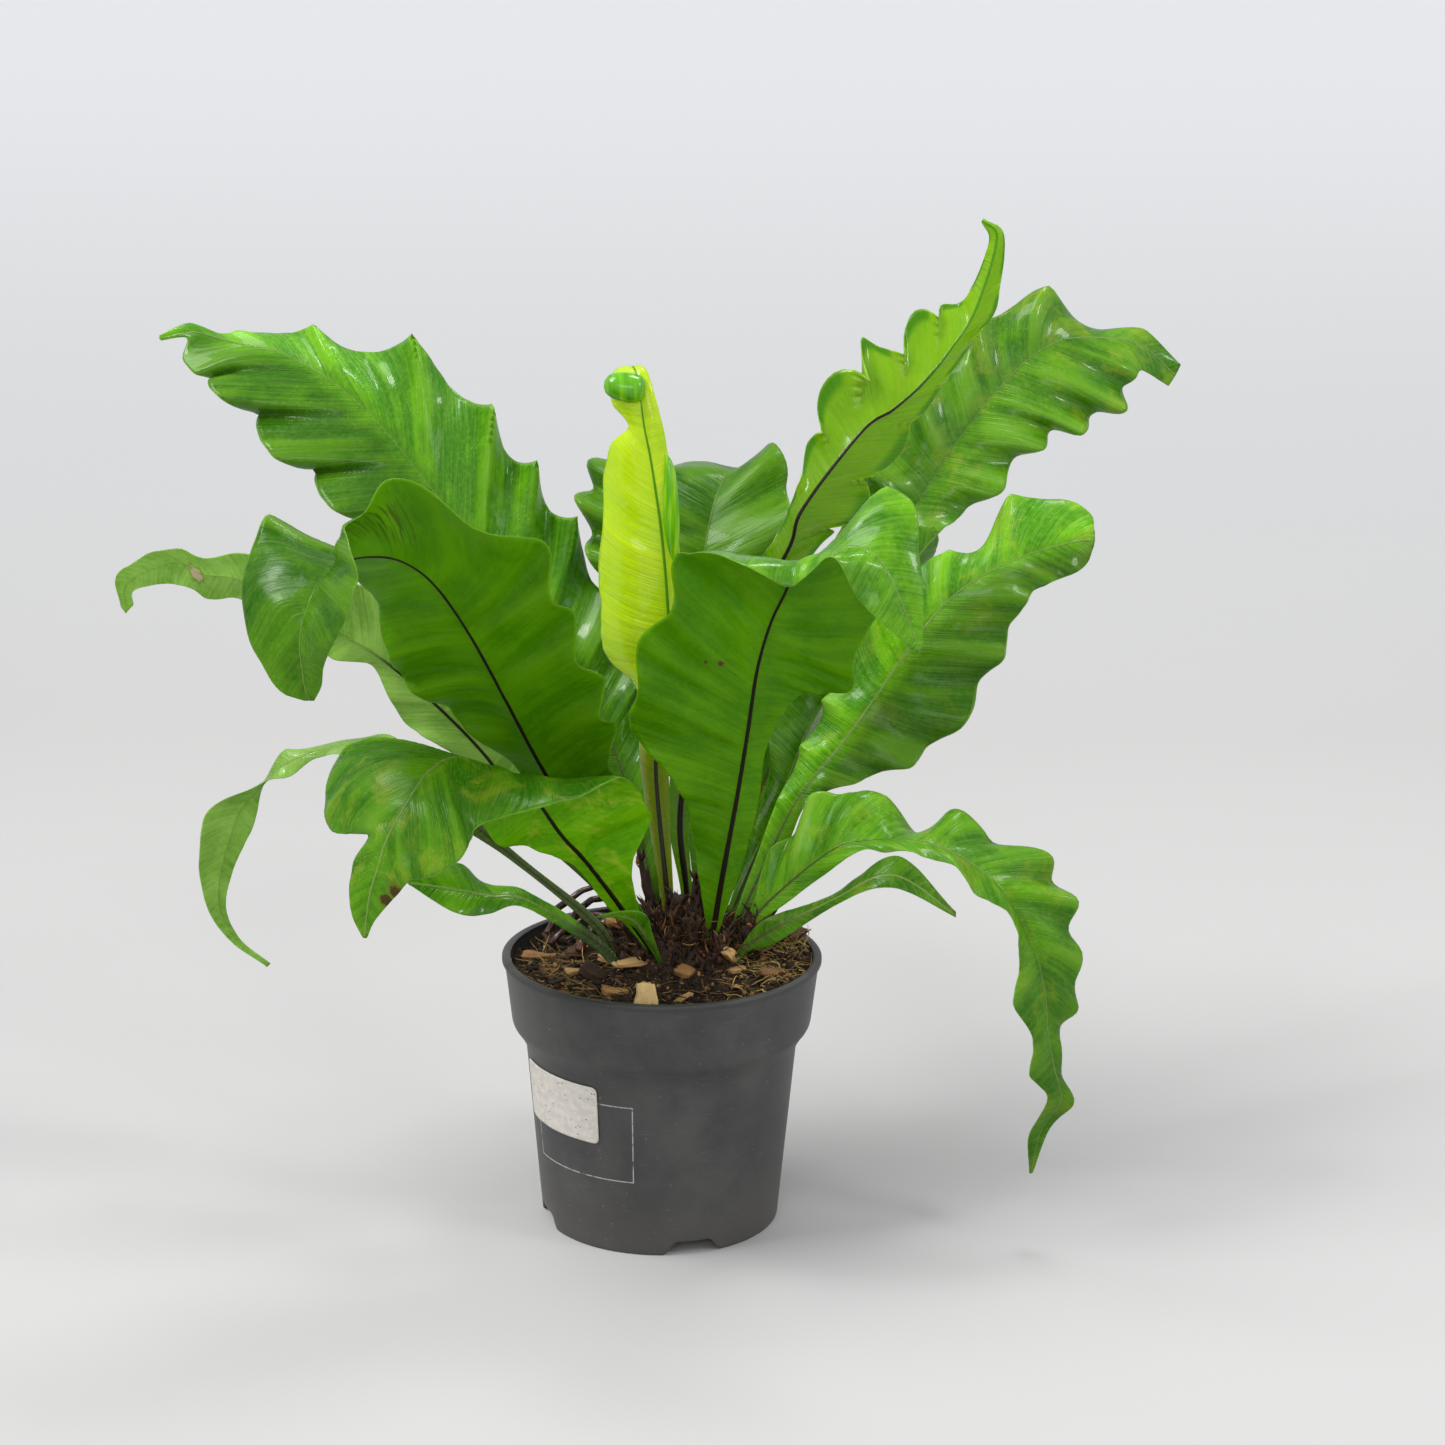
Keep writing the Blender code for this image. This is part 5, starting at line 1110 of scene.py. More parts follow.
def pot_piece():
    """The pot: wall, lip, band and shoulder, with notches in its skirt and holes in its floor."""
    inner = BASE_RADIUS - WALL
    taper = [(wall_radius(z), z) for z in (88, 78, 68, 58, 48, 38, 28, 20, 14, 10, 7, 4, 1.2)]
    foot = [
        (BASE_RADIUS - 0.1, 0.5), (BASE_RADIUS - 0.5, 0.0), (inner + 0.2, 0.0), (inner - 0.1, 0.5),
        (inner, 4.0), (inner + 0.4, FLOOR_Z - 0.6),
    ]
    under = [
        (inner + 0.4, FLOOR_Z - 0.6), (inner - 1.0, FLOOR_Z), (FOOT_PAD_RADIUS + 0.6, FLOOR_Z),
        (FOOT_PAD_RADIUS, FLOOR_Z - 0.6), (FOOT_PAD_RADIUS, 0.6), (FOOT_PAD_RADIUS - 0.6, 0.0), (0.0, 0.0),
    ]
    points, quads = turned(pot_profile() + taper + foot, POT_STEPS, lift_foot)
    more, more_quads = turned(under, POT_STEPS)
    quads = np.concatenate([quads, more_quads + len(points)])
    pot = mesh_piece("pot_shell", np.concatenate([points, more]), quads, [pot_material()])
    close_pot(pot)
    place_piece(pot, "pot_plastic", "pot")


def close_pot(pot):
    """Welds the pot's seams and its two middles, and cuts the drain holes through its floor."""
    weld = pot.modifiers.new("weld", "WELD")
    weld.merge_threshold = WELD_REACH
    holes = []
    for i in range(DRAIN_COUNT):
        turn = 2 * math.pi * i / DRAIN_COUNT
        x, y = DRAIN_CIRCLE * MM * math.cos(turn), DRAIN_CIRCLE * MM * math.sin(turn)
        spot = (x, y, FLOOR_TOP_Z * MM - 0.001)
        bpy.ops.mesh.primitive_cylinder_add(vertices=32, radius=DRAIN_RADIUS * MM, depth=0.008, location=spot)
        holes.append(bpy.context.object)
        cut = pot.modifiers.new("hole", "BOOLEAN")
        cut.operation = "DIFFERENCE"
        cut.object = holes[-1]
    graph = bpy.context.evaluated_depsgraph_get()
    made = bpy.data.meshes.new_from_object(pot.evaluated_get(graph))
    pot.modifiers.clear()
    pot.data = made
    pot.data.set_sharp_from_angle(angle=math.radians(SHARP_ANGLE))
    for hole in holes:
        bpy.data.objects.remove(hole, do_unlink=True)


def round_corners(turn, height):
    """Draws the label's four corners in to quarter circles."""
    degree = math.radians(0.5 * (BASE_RADIUS + SHOULDER_RADIUS))
    middle = (turn.mean(), height.mean())
    reach = (np.ptp(turn) * degree / 2 - STICKER_CORNER, np.ptp(height) / 2 - STICKER_CORNER)
    dx = np.abs(turn - middle[0]) * degree - reach[0]
    dy = np.abs(height - middle[1]) - reach[1]
    inside = (dx > 0) & (dy > 0)
    pull = np.where(inside, np.maximum(dx, dy) / np.maximum(np.hypot(dx, dy), 1e-9), 1.0)
    new_turn = middle[0] + np.sign(turn - middle[0]) * (reach[0] + dx * pull) / degree
    new_height = middle[1] + np.sign(height - middle[1]) * (reach[1] + dy * pull)
    return np.where(inside, new_turn, turn), np.where(inside, new_height, height)


def sticker_piece():
    """A paper label wrapped on the pot's taper, with corners that begin to lift."""
    turns = np.linspace(*STICKER_TURN, STICKER_STEPS[0] + 1)
    heights = np.linspace(*STICKER_Z, STICKER_STEPS[1] + 1)
    turn, height = np.meshgrid(turns, heights)
    across = (turn - turns[0]) / (turns[-1] - turns[0])
    up = (height - heights[0]) / (heights[-1] - heights[0])
    turn, height = round_corners(turn, height)
    corner = np.maximum(np.abs(across - 0.5), np.abs(up - 0.5)) * 2
    curl = 0.5 * np.clip(corner - 0.9, 0, 1) / 0.1 * smooth_noise(across * 3, up * 3, 4.0)
    wrinkle = 0.12 * smooth_noise(across * 9, up * 6, 9.0)
    skins = []
    for out in STICKER_SKINS:
        radius = wall_radius(height) + out + np.clip(curl, 0, 1) * 0.5 + wrinkle * (out == STICKER_SKINS[0])
        angle = np.radians(turn)
        skins.append(np.stack([radius * np.cos(angle), radius * np.sin(angle), height], -1).reshape(-1, 3))
    faces = two_skins(*height.shape)[0][:, [0, 3, 2, 1]]
    wall = np.tile(np.stack([turn, height, height * 0], -1).reshape(-1, 3), (2, 1))
    piece = mesh_piece("sticker_label", np.concatenate(skins), faces, [paper_material()], {"wall": wall})
    place_piece(piece, "sticker_paper", "sticker")


def lumps(x, y, size, seed):
    """Noise whose lumps are about the size across, mm."""
    return noise_at(x / size, y / size, seed)


def heap_height(x, y):
    """The compost's broad surface, as in the model, with the fibrous mat that rises at the right."""
    away = math.hypot(x - COMPOST_HEAP_CENTRE[0], y - COMPOST_HEAP_CENTRE[1])
    heap = COMPOST_HEAP * math.exp(-((away / COMPOST_HEAP_REACH) ** 2))
    mat_x, mat_y = (x - MAT_CENTRE[0]) / MAT_REACH[0], (y - MAT_CENTRE[1]) / MAT_REACH[1]
    mat = MAT_RISE * math.exp(-(mat_x**2) - mat_y**2)
    return COMPOST_EDGE_Z + heap + mat + (2.0 * lumps(x, y, 9, 3.0) + 1.2 * lumps(x, y, 4, 8.0))


def crown_offset(x, y):
    """How far a point lies from the crown's middle, in shares of the crown's two radii."""
    return (x - CROWN_CENTRE[0]) / CROWN_RADII[0], (y - CROWN_CENTRE[1]) / CROWN_RADII[1]


def crown_height(x, y):
    """The crown's top: a dome with lumps, standing out of the compost."""
    dx, dy = crown_offset(x, y)
    dome = CROWN_DOME * max(0.0, 1 - dx * dx - dy * dy) ** 0.7
    return CROWN_SIDE_Z + dome + 2.4 * lumps(x, y, 7, 21.0) * min(1.0, dome / 4)


def ground_height(x, y):
    """The higher of compost and crown, where small things lie."""
    dx, dy = crown_offset(x, y)
    if dx * dx + dy * dy < 1:
        return max(crown_height(x, y), heap_height(x, y))
    return heap_height(x, y)


# How far the compost's and crown's sides draw in towards their feet, as a share of their radius.
SIDE_TAPER = 0.07


def disc_piece(name, centre, radii, top, foot_z, material, tone, rings, spokes):
    """A closed solid with a fine uneven top over a plain side and underside."""
    share = np.linspace(0, 1, rings + 1)[1:] ** 0.75
    turns = np.linspace(0, 2 * math.pi, spokes, endpoint=False)
    x = centre[0] + radii[0] * share[:, None] * np.cos(turns)
    y = centre[1] + radii[1] * share[:, None] * np.sin(turns)
    z = np.array([top(a, b) for a, b in zip(x.ravel(), y.ravel())]).reshape(x.shape)
    surface = np.stack([x, y, z], -1)
    side = surface[-1:].repeat(2, axis=0)
    side[0, :, 2] = np.minimum(side[0, :, 2] - 2.0, (side[0, :, 2] + foot_z) / 2)
    side[1, :, 2] = foot_z
    side[1, :, :2] += (np.array(centre) - side[1, :, :2]) * SIDE_TAPER
    middles = [(*centre, top(*centre)), (*centre, foot_z)]
    points = np.concatenate([surface.reshape(-1, 3), side.reshape(-1, 3), middles])
    faces = capped_rings(rings + 2, spokes)[:, [0, 2, 1]]
    return mesh_piece(name, points, faces, [material], {"tone": np.tile((tone, 0, 0), (len(points), 1))})


class Pile:
    """Collects many small closed shapes of triangles, each with its own tone, for one mesh."""

    def __init__(self):
        self.points, self.faces, self.tones = [], [], []
        self.count = 0

    def add(self, points, faces, tone, sides=(0.0, 0.0)):
        """Sides are the points' places across the shape's own length, which its fibres follow."""
        self.points.append(points)
        self.faces.append(np.asarray(faces) + self.count)
        count = len(points)
        self.tones.append(np.hstack([np.full((count, 1), tone), np.broadcast_to(sides, (count, 2))]))
        self.count += count

    def piece(self, name, material, smooth=False):
        """One mesh of all the shapes."""
        points, faces = np.concatenate(self.points), np.concatenate(self.faces)
        return mesh_piece(
            name, points, faces, [material], {"tone": np.concatenate(self.tones)}, smooth=smooth
        )


def shape_of(made):
    """Points and triangles of a bmesh, which is used up."""
    bmesh.ops.triangulate(made, faces=made.faces)
    made.verts.index_update()
    points = np.array([vertex.co[:] for vertex in made.verts])
    faces = np.array([[vertex.index for vertex in face.verts] for face in made.faces])
    made.free()
    return points, faces


def turn_matrix(rng):
    """A random rotation."""
    axis = Vector((rng.gauss(0, 1), rng.gauss(0, 1), rng.gauss(0, 1))).normalized()
    return np.array(Matrix.Rotation(rng.uniform(0, 2 * math.pi), 3, axis))


def tube(path, radii, sides):
    """A closed tube of triangles along a path, pointed or blunt as its radii say."""
    path = np.asarray(path, float)
    along = unit(np.gradient(path, axis=0))
    helper = np.array([0.0, 0.0, 1.0]) if abs(along[0][2]) < 0.9 else np.array([1.0, 0.0, 0.0])
    across = unit(np.cross(along, helper))
    over = np.cross(along, across)
    turns = 2 * math.pi * np.arange(sides) / sides
    ring = across[:, None] * np.cos(turns)[None, :, None] + over[:, None] * np.sin(turns)[None, :, None]
    points = (path[:, None] + ring * np.asarray(radii)[:, None, None]).reshape(-1, 3)
    return np.concatenate([points, path[:1], path[-1:]]), capped_rings(len(path), sides)


def random_place(rng, outer):
    """A point of the compost, even over its area."""
    turn, radius = rng.uniform(0, 2 * math.pi), outer * math.sqrt(rng.random())
    return radius * math.cos(turn), radius * math.sin(turn)


def wandering_path(rng, start, heading, length, steps, bend, droop=0.0):
    """A path of short steps whose heading turns a little at each."""
    point = np.array(start, float)
    heading = np.array(heading, float)
    path = [point.copy()]
    for _ in range(steps):
        drift = (rng.gauss(0, bend), rng.gauss(0, bend), rng.gauss(0, bend) - droop)
        heading = unit(heading + np.array(drift))
        point = point + heading * length / steps
        path.append(point.copy())
    return path


def add_crumbs(pile, rng, count):
    """Crumbs of peat and bark, from dust to small lumps."""
    shape, faces = ball_shape()
    for _ in range(count):
        x, y = random_place(rng, COMPOST_SPREAD)
        size = 0.5 + 1.9 * rng.random() ** 3
        jitter = np.array([1 + rng.uniform(-0.3, 0.3) for _ in range(len(shape))])[:, None]
        stretch = np.array([rng.uniform(0.6, 1.6), rng.uniform(0.6, 1.1), rng.uniform(0.5, 1.0)])
        points = (shape * jitter * stretch * size) @ turn_matrix(rng).T
        tone = rng.random() ** 2.2 * 0.75
        pile.add(points + (x, y, ground_height(x, y) + size * 0.25), faces, tone)


def fibre_tone(rng, x, y):
    """Fibres are straw coloured on the right and greener on the left, and dark in the middle."""
    if x > 40 and rng.random() < 0.75:
        return rng.uniform(0.55, 0.95)
    if x < -25 and rng.random() < 0.5:
        return rng.uniform(0.45, 0.8)
    return rng.random() ** 1.6 * 0.8


def add_fibres(pile, rng, count):
    """Roots and coir fibres lying over the compost, thickest at the right."""
    for i in range(count):
        x, y = random_place(rng, COMPOST_SPREAD)
        if i % 3 == 0:
            x, y = rng.gauss(58, 13), rng.gauss(8, 26)
        elif i % 7 == 0:
            x, y = rng.gauss(-55, 12), rng.gauss(-5, 22)
        if math.hypot(x, y) > COMPOST_SPREAD:
            continue
        turn = rng.uniform(0, 2 * math.pi)
        length = rng.uniform(4, 20)
        rise = rng.uniform(-0.1, 0.35)
        start = (x, y, ground_height(x, y) + rng.uniform(-0.3, 1.2))
        path = wandering_path(rng, start, (math.cos(turn), math.sin(turn), rise), length, 6, 0.22, 0.05)
        path = [keep_in_pot(point) for point in path]
        thick = rng.uniform(0.13, 0.42)
        radii = thick * np.array([0.5, 0.9, 1, 1, 0.9, 0.7, 0.3])
        points, faces = tube(path, radii, 3)
        pile.add(points, faces, fibre_tone(rng, x, y))


def keep_in_pot(point):
    """Keeps a path point above the compost and inside the pot's wall."""
    radius = math.hypot(point[0], point[1])
    if radius > INSIDE_RADIUS:
        point[:2] *= INSIDE_RADIUS / radius
    point[2] = max(point[2], ground_height(point[0], point[1]) - 0.2)
    return point


# Bark chips that show, mm: middle x, y and height over the compost, length, width, thickness, turn, tilt and
# roll in degrees, and tone.
CHIPS = (
    (-8, -67, 8.5, 13.5, 10.6, 2.4, 88, -74, 2, 0.97),
    (-31, 27, 2.0, 22, 5.5, 2.6, -62, 6, 10, 0.72),
    (-13, 14, 2.2, 34, 6.0, 3.0, 8, -3, 20, 0.66),
    (-36, 12, 2.0, 30, 7.0, 2.5, -4, 3, 12, 0.42),
    (-36, -20, 3.0, 15, 14, 5.0, 75, 6, 28, 0.34),
    (36, -12, 3.0, 14, 7.0, 5.0, 72, 38, 20, 0.86),
    (-27, -4, 3.0, 19, 4.2, 2.4, -52, 6, 10, 0.86),
    (-12, -12, 3.0, 24, 4.5, 2.4, 12, -3, 20, 0.84),
    (-44, -14, 2.4, 15, 3.4, 2.0, 30, 5, 15, 0.82),
    (40, -38, 2.5, 10, 3.5, 2.0, 80, 20, 10, 0.78),
    (12, -20, 2.5, 9, 7, 4.0, -30, 10, 20, 0.7),
    (58, -24, 2.0, 16, 5, 2.5, 40, 8, 10, 0.6),
    (64, 22, 3.5, 26, 11, 4.0, -35, 6, 14, 0.56),
    (-24, -42, 2.0, 14, 6, 2.5, 12, 8, 16, 0.72),
    (-58, 34, 4.0, 14, 8, 3.0, 42, 20, 30, 0.4),
    (-66, 12, 2.0, 18, 5, 2.5, 6, 4, 10, 0.64),
    (20, 2, 9.0, 13, 5, 4.0, -20, 30, 10, 0.6),
)


def add_chip(pile, rng, shape, faces, x, y, over, length, width, thick, turn, tilt, roll, tone):
    """A splinter of bark: a box with worn corners, drawn along its grain."""
    half = np.array([length, width, thick]) / 2
    points = shape * half
    skew = np.array([rng.uniform(-0.16, 0.16) for _ in range(4)])
    points[:, 1] *= 1 + skew[0] * shape[:, 0]
    points[:, 2] *= 1 + skew[1] * shape[:, 0]
    points[:, 0] += skew[2] * shape[:, 1] * half[1]
    for point, corner in zip(points, shape):
        grain = noise_at(point[0] / 9, point[1] / 1.2 + tone * 50, point[2] / 1.2)
        torn = noise_at(point[1] / 1.1, point[2] / 1.1, x + corner[0])
        point[1:] += corner[1:] * grain * min(1.2, 0.5 * thick)
        point[0] += corner[0] ** 9 * torn * min(1.4, 0.2 * length)
    rotation = Matrix.Rotation(math.radians(turn), 3, "Z") @ Matrix.Rotation(math.radians(tilt), 3, "Y")
    rotation = rotation @ Matrix.Rotation(math.radians(roll), 3, "X")
    placed = points @ np.array(rotation).T + (x, y, ground_height(x, y) + over)
    pile.add(placed, faces, tone, points[:, 1:] + x)


def ball_shape():
    """A coarse ball of radius 1, as points and triangles."""
    made = bmesh.new()
    bmesh.ops.create_icosphere(made, subdivisions=1, radius=1.0)
    return shape_of(made)


def box_shape(cuts):
    """A cube from -1 to 1 with worn corners, as points and triangles."""
    made = bmesh.new()
    bmesh.ops.create_cube(made, size=2.0)
    bmesh.ops.subdivide_edges(made, edges=made.edges, cuts=cuts, use_grid_fill=True)
    for vertex in made.verts:
        worn = sum(abs(value) ** 18 for value in vertex.co) ** (1 / 18)
        vertex.co /= worn
    return shape_of(made)


def add_chips(pile, rng):
    """The listed chips, and smaller ones scattered between them."""
    shape, faces = box_shape(5)
    for chip in CHIPS:
        add_chip(pile, rng, shape, faces, *chip)
    for _ in range(CHIP_SCATTER):
        x, y = random_place(rng, 74.0)
        length = rng.uniform(3, 11)
        add_chip(
            pile, rng, shape, faces, x, y, rng.uniform(0.2, 1.6), length, length * rng.uniform(0.25, 0.7),
            rng.uniform(1.2, 3.0), rng.uniform(0, 180), rng.uniform(-25, 25), rng.uniform(-25, 25),
            rng.random() ** 1.7 * 0.8,
        )


# Colours of peat and bark, straw and crown scales, from their darkest tone to their palest, in linear light.
SOIL_STOPS = (
    (0.0, (0.007, 0.004, 0.002)), (0.35, (0.032, 0.015, 0.007)), (0.55, (0.11, 0.05, 0.02)),
    (0.75, (0.36, 0.19, 0.065)), (1.0, (0.66, 0.46, 0.2)),
)

STRAW_STOPS = (
    (0.0, (0.012, 0.007, 0.004)), (0.4, (0.08, 0.042, 0.016)), (0.7, (0.32, 0.2, 0.06)),
    (0.85, (0.5, 0.36, 0.12)), (1.0, (0.66, 0.52, 0.24)),
)

SCALE_STOPS = (
    (0.0, (0.007, 0.004, 0.002)), (0.4, (0.035, 0.015, 0.007)), (0.65, (0.11, 0.045, 0.018)),
    (0.85, (0.25, 0.115, 0.04)), (1.0, (0.42, 0.22, 0.08)),
)


def compost_pieces():
    """The compost's surface, and what lies on it."""
    rng = random.Random(DETAIL_SEED)
    soil = toned_material("compost_peat", SOIL_STOPS, roughness=0.6, grain_scale=500.0, bump_mm=0.6)
    bark = toned_material(
        "compost_bark", SOIL_STOPS, roughness=0.5, grain_scale=260.0, bump_mm=0.5, fibrous=True
    )
    straw = toned_material("compost_fibre", STRAW_STOPS, roughness=0.5, grain_scale=300.0, bump_mm=0.2)

    def top(x, y):
        return heap_height(x, y) + (0.9 * lumps(x, y, 1.9, 5.0) + 0.5 * lumps(x, y, 0.9, 1.0))

    radii = (BAND_TOP_RADIUS - WALL - 0.9,) * 2
    foot_z = BAND_FOOT_Z + 2
    body = disc_piece("compost_soil", (0.0, 0.0), radii, top, foot_z, soil, tone=0.3, rings=90, spokes=300)
    place_piece(body, "compost", "compost")
    crumbs, chips, fibres = Pile(), Pile(), Pile()
    add_crumbs(crumbs, rng, CRUMB_COUNT)
    add_chips(chips, rng)
    add_fibres(fibres, rng, FIBRE_COUNT)
    place_piece(crumbs.piece("compost_crumbs", soil), "compost")
    place_piece(chips.piece("compost_chips", bark), "compost")
    place_piece(fibres.piece("compost_fibres", straw, smooth=True), "compost")


def add_scales(pile, rng, count):
    """Narrow pointed scales that clothe the crown between the stems."""
    for _ in range(count):
        share, turn = math.sqrt(rng.random()) * 0.97, rng.uniform(0, 2 * math.pi)
        x = CROWN_CENTRE[0] + CROWN_RADII[0] * share * math.cos(turn)
        y = CROWN_CENTRE[1] + CROWN_RADII[1] * share * math.sin(turn)
        lean = 0.25 + 0.6 * share
        heading = (lean * math.cos(turn) + rng.gauss(0, 0.3), lean * math.sin(turn) + rng.gauss(0, 0.3), 1.0)
        length = rng.uniform(4, 13)
        start = (x, y, crown_height(x, y) - 1.5)
        path = wandering_path(rng, start, unit(np.array(heading)), length, 5, 0.16, 0.04)
        wide = rng.uniform(0.35, 1.0)
        points, faces = tube(path, wide * np.array([0.7, 1.0, 0.9, 0.65, 0.35, 0.06]), 4)
        pile.add(points, faces, rng.random() ** 1.5 * 0.8)


# Broken stem bases that stand in the crown, mm: foot, top, radius at the foot and at the top, and tone.
STUBS = (
    ((17, -2, 150), (19, 2, 189), 5.0, 2.2, 0.3),
    ((23, 0, 148), (24, 3, 178), 4.0, 2.6, 0.25),
    ((4, 2, 150), (8, 4, 176), 5.5, 4.0, 0.35),
    ((14, -8, 147), (16, -8, 170), 5.0, 3.6, 0.3),
    ((44, -2, 146), (65, 12, 182), 3.8, 3.0, 0.62),
    ((40, 0, 146), (53, 8, 172), 4.2, 2.6, 0.3),
    ((-2, 14, 150), (-13, 22, 196), 2.6, 1.0, 0.3),
    ((-6, 18, 150), (-9, 24, 184), 2.6, 1.4, 0.25),
    ((26, -14, 146), (34, -13, 160), 4.0, 3.0, 0.45),
    ((-12, 4, 148), (-20, 2, 162), 4.0, 3.0, 0.3),
)

# Dead stems that loop over the pot's left back, mm: points and radius.
LOOPS = (
    (((-62, 30, 146), (-56, 34, 158), (-42, 36, 169), (-26, 32, 170), (-12, 26, 158)), 1.8),
    (((-60, 22, 142), (-48, 26, 153), (-34, 26, 158), (-20, 22, 154), (-8, 16, 148)), 1.5),
    (((-52, 36, 144), (-44, 40, 158), (-30, 40, 164), (-18, 34, 158), (-10, 28, 150)), 2.2),
    (((-44, 10, 143), (-38, 14, 152), (-28, 16, 157), (-18, 12, 155), (-10, 6, 149)), 2.8),
)


def rough_path(ends, steps, wobble, seed):
    """A straight or curved run of points with a slight wobble."""
    path = spline(ends, np.linspace(0, len(ends) - 1, steps))
    for i, point in enumerate(path):
        point += np.array([noise_at(i * 6 / steps, k * 9.0, seed) for k in range(3)]) * wobble
    return path


def add_shag(pile, rng, foot, top, wide, narrow, count):
    """Torn scales that cling to a stem base and point up along it."""
    foot, top = np.array(foot, float), np.array(top, float)
    for _ in range(count):
        share, turn = rng.random(), rng.uniform(0, 2 * math.pi)
        out = np.array((math.cos(turn), math.sin(turn), 0.0))
        start = foot + (top - foot) * share + out * (wide + (narrow - wide) * share) * 0.85
        path = wandering_path(rng, start, unit(out * 0.5 + (0, 0, 1)), rng.uniform(4, 10), 4, 0.2)
        radii = rng.uniform(0.5, 1.3) * np.array([0.8, 1.0, 0.8, 0.45, 0.08])
        pile.add(*tube(path, radii, 4), rng.random() ** 1.3 * 0.85)


def add_stub(pile, foot, top, wide, narrow, tone, seed):
    """A torn stem base, ridged along its length."""
    path = rough_path((foot, top), 16, 1.6, seed)
    sides = 14
    radii = np.linspace(wide, narrow, 16)
    points, faces = tube(path, radii, sides)
    for i, point in enumerate(points[:-2]):
        ring, side = divmod(i, sides)
        ridge = noise_at(side * 1.3, ring * 0.12, seed * 3.1)
        torn = max(0.0, ring - 11) * 1.8 * noise_at(side * 0.9, 4.0, seed)
        point += (point - path[ring]) * ridge * 0.9 + np.array((0, 0, torn))
    pile.add(points, faces, tone)


def crown_pieces():
    """The crown's fibrous mass, its scales, broken stem bases and looping dead stems."""
    rng = random.Random(DETAIL_SEED + 1)
    scaly = toned_material(
        "crown_scale_brown", SCALE_STOPS, roughness=0.5, grain_scale=350.0, bump_mm=0.6, stretch=(1, 1, 0.35)
    )

    def top(x, y):
        return crown_height(x, y) + (1.4 * lumps(x, y, 2.2, 15.0) + 0.6 * lumps(x, y, 1, 11.0))

    mass = disc_piece(
        "crown_mass", CROWN_CENTRE, CROWN_RADII, top, CROWN_FOOT_Z, scaly, tone=0.35, rings=44, spokes=150
    )
    place_piece(mass, "crown_scales", "crown")
    scales, stubs, loops = Pile(), Pile(), Pile()
    add_scales(scales, rng, SCALE_COUNT)
    for i, (foot, top_point, wide, narrow, tone) in enumerate(STUBS):
        add_stub(stubs, foot, top_point, wide, narrow, tone, i + 1.0)
        add_shag(scales, rng, foot, top_point, wide, narrow, THICK_SHAG if wide > THICK_STUB else THIN_SHAG)
    place_piece(scales.piece("crown_scale_tips", scaly, smooth=True), "crown_scales")
    place_piece(stubs.piece("crown_stem_bases", scaly, smooth=True), "crown_scales")
    for i, (ends, radius) in enumerate(LOOPS):
        path = rough_path(ends, LOOP_STEPS, 2.5, i + 20.0)
        swell = radius * (1 + 0.15 * np.sin(np.arange(LOOP_STEPS) * 0.2 + i))
        loops.add(*tube(path, swell, 12), 0.45)
    place_piece(loops.piece("dead_stem_loops", loop_material(), smooth=True), "crown_scales")


def loop_material():
    """The glossy dark skin of a dead stem."""
    g = Graph("dead_stem_skin")
    place = g.place()
    cloud = g.noise(place, 90.0, 4.0, 0.6)
    colour = g.mix(g.smooth(cloud, 0.35, 0.7), (0.02, 0.008, 0.006), (0.11, 0.04, 0.024))
    normal = g.bump(g.noise(place, 350.0, 3.0), 0.3, 0.5)
    return g.finish(g.principled(colour, g.plus(g.times(cloud, 0.2), 0.12), normal))


def add_floor():
    """A wide floor just under the pot's foot."""
    bpy.ops.mesh.primitive_circle_add(
        vertices=96, radius=FLOOR_RADIUS, fill_type="NGON", location=(0, 0, FLOOR_HEIGHT)
    )
    floor = bpy.context.object
    floor.name = "floor"
    floor.data.materials.append(floor_material())


def hang(name, data, place, direction):
    """Puts a light in the scene, shining along the direction."""
    light = bpy.data.objects.new(name, data)
    light.location = place
    light.rotation_euler = Vector(direction).to_track_quat("-Z", "Y").to_euler()
    bpy.context.scene.collection.objects.link(light)


def add_sun(name, direction, strength, spread, colour):
    """A soft light that falls along the direction; its spread is in degrees."""
    data = bpy.data.lights.new(name, "SUN")
    data.energy = strength
    data.angle = math.radians(spread)
    data.color = colour
    hang(name, data, (0, 0, 0), direction)


def add_panel(name, place, size, watts):
    """A soft box, placed and sized in metres, that gives the leaves their highlights."""
    data = bpy.data.lights.new(name, "AREA")
    data.shape = "RECTANGLE"
    data.size, data.size_y = size
    data.energy = watts
    hang(name, data, place, Vector(PANEL_AIM) - Vector(place))


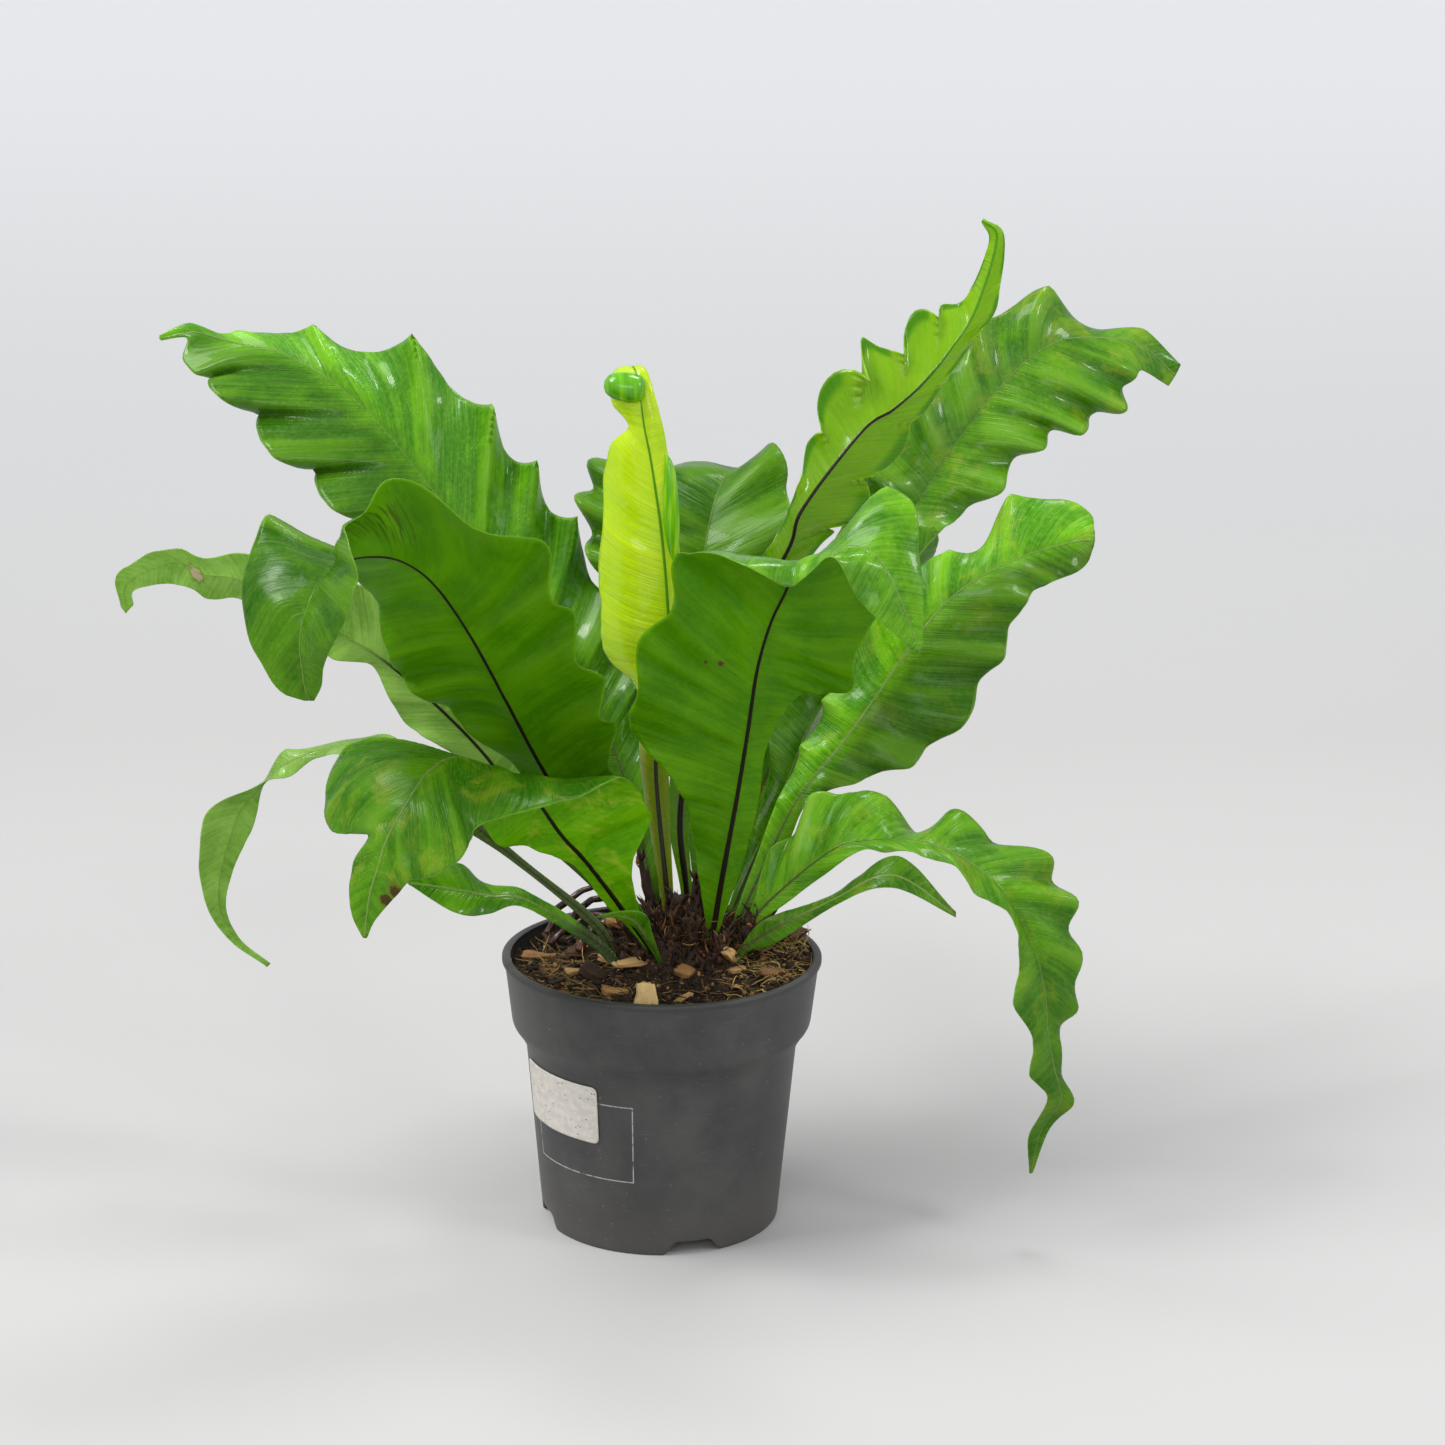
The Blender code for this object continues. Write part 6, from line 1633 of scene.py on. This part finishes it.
def add_lights():
    """An even sky, a sun and a weak one from the right, and four soft boxes."""
    world = bpy.data.worlds.new("studio")
    world.use_nodes = True
    background = world.node_tree.nodes["Background"]
    background.inputs["Color"].default_value = SKY_COLOUR
    background.inputs["Strength"].default_value = SKY_STRENGTH
    bpy.context.scene.world = world
    add_sun("key", (0.7, 0.1, -1.0), strength=1.85, spread=30, colour=(1.0, 1.0, 0.98))
    add_panel("top_box", (0.4, 0.5, 2.0), size=(0.5, 0.3), watts=10)
    add_panel("left_box", (-1.5, -0.7, 1.9), size=(0.5, 0.35), watts=16)
    add_panel("right_box", (1.6, -0.9, 1.7), size=(0.4, 0.3), watts=9)
    add_sun("fill", (-1.0, 0.45, -0.3), strength=0.5, spread=60, colour=(1.0, 1.0, 1.0))
    add_panel("front_box", (-0.3, -2.7, 1.2), size=(1.8, 0.9), watts=16)


def add_camera():
    """The photograph's view, with its slight turn and tilt."""
    pitch, yaw, roll = (math.radians(angle) for angle in (CAMERA_PITCH, CAMERA_YAW, CAMERA_ROLL))
    forward = Vector((math.sin(yaw) * math.cos(pitch), math.cos(yaw) * math.cos(pitch), -math.sin(pitch)))
    level = Vector((math.cos(yaw), -math.sin(yaw), 0))
    right = level * math.cos(roll) + level.cross(forward) * math.sin(roll)
    up = right.cross(forward)
    data = bpy.data.cameras.new("camera")
    data.lens = LENS_MM
    data.sensor_width = SENSOR_MM
    camera = bpy.data.objects.new("camera", data)
    axes = Matrix((right, up, -forward)).transposed().to_4x4()
    camera.matrix_world = Matrix.Translation((0, -CAMERA_BACK, CAMERA_HEIGHT)) @ axes
    bpy.context.scene.collection.objects.link(camera)
    bpy.context.scene.camera = camera


def build():
    """Everything in the picture, from the camera to the last frond."""
    add_camera()
    add_lights()
    add_floor()
    pot_piece()
    sticker_piece()
    compost_pieces()
    crown_pieces()
    for i, (name, frond) in enumerate(FRONDS.items()):
        frond_piece(name, frond, i * 13.0 + 0.5)
    frond_piece("little_leaf", LITTLE_LEAF, 5.5)
    young_roll_piece()
    bpy.context.scene.view_settings.view_transform = "Standard"


build()
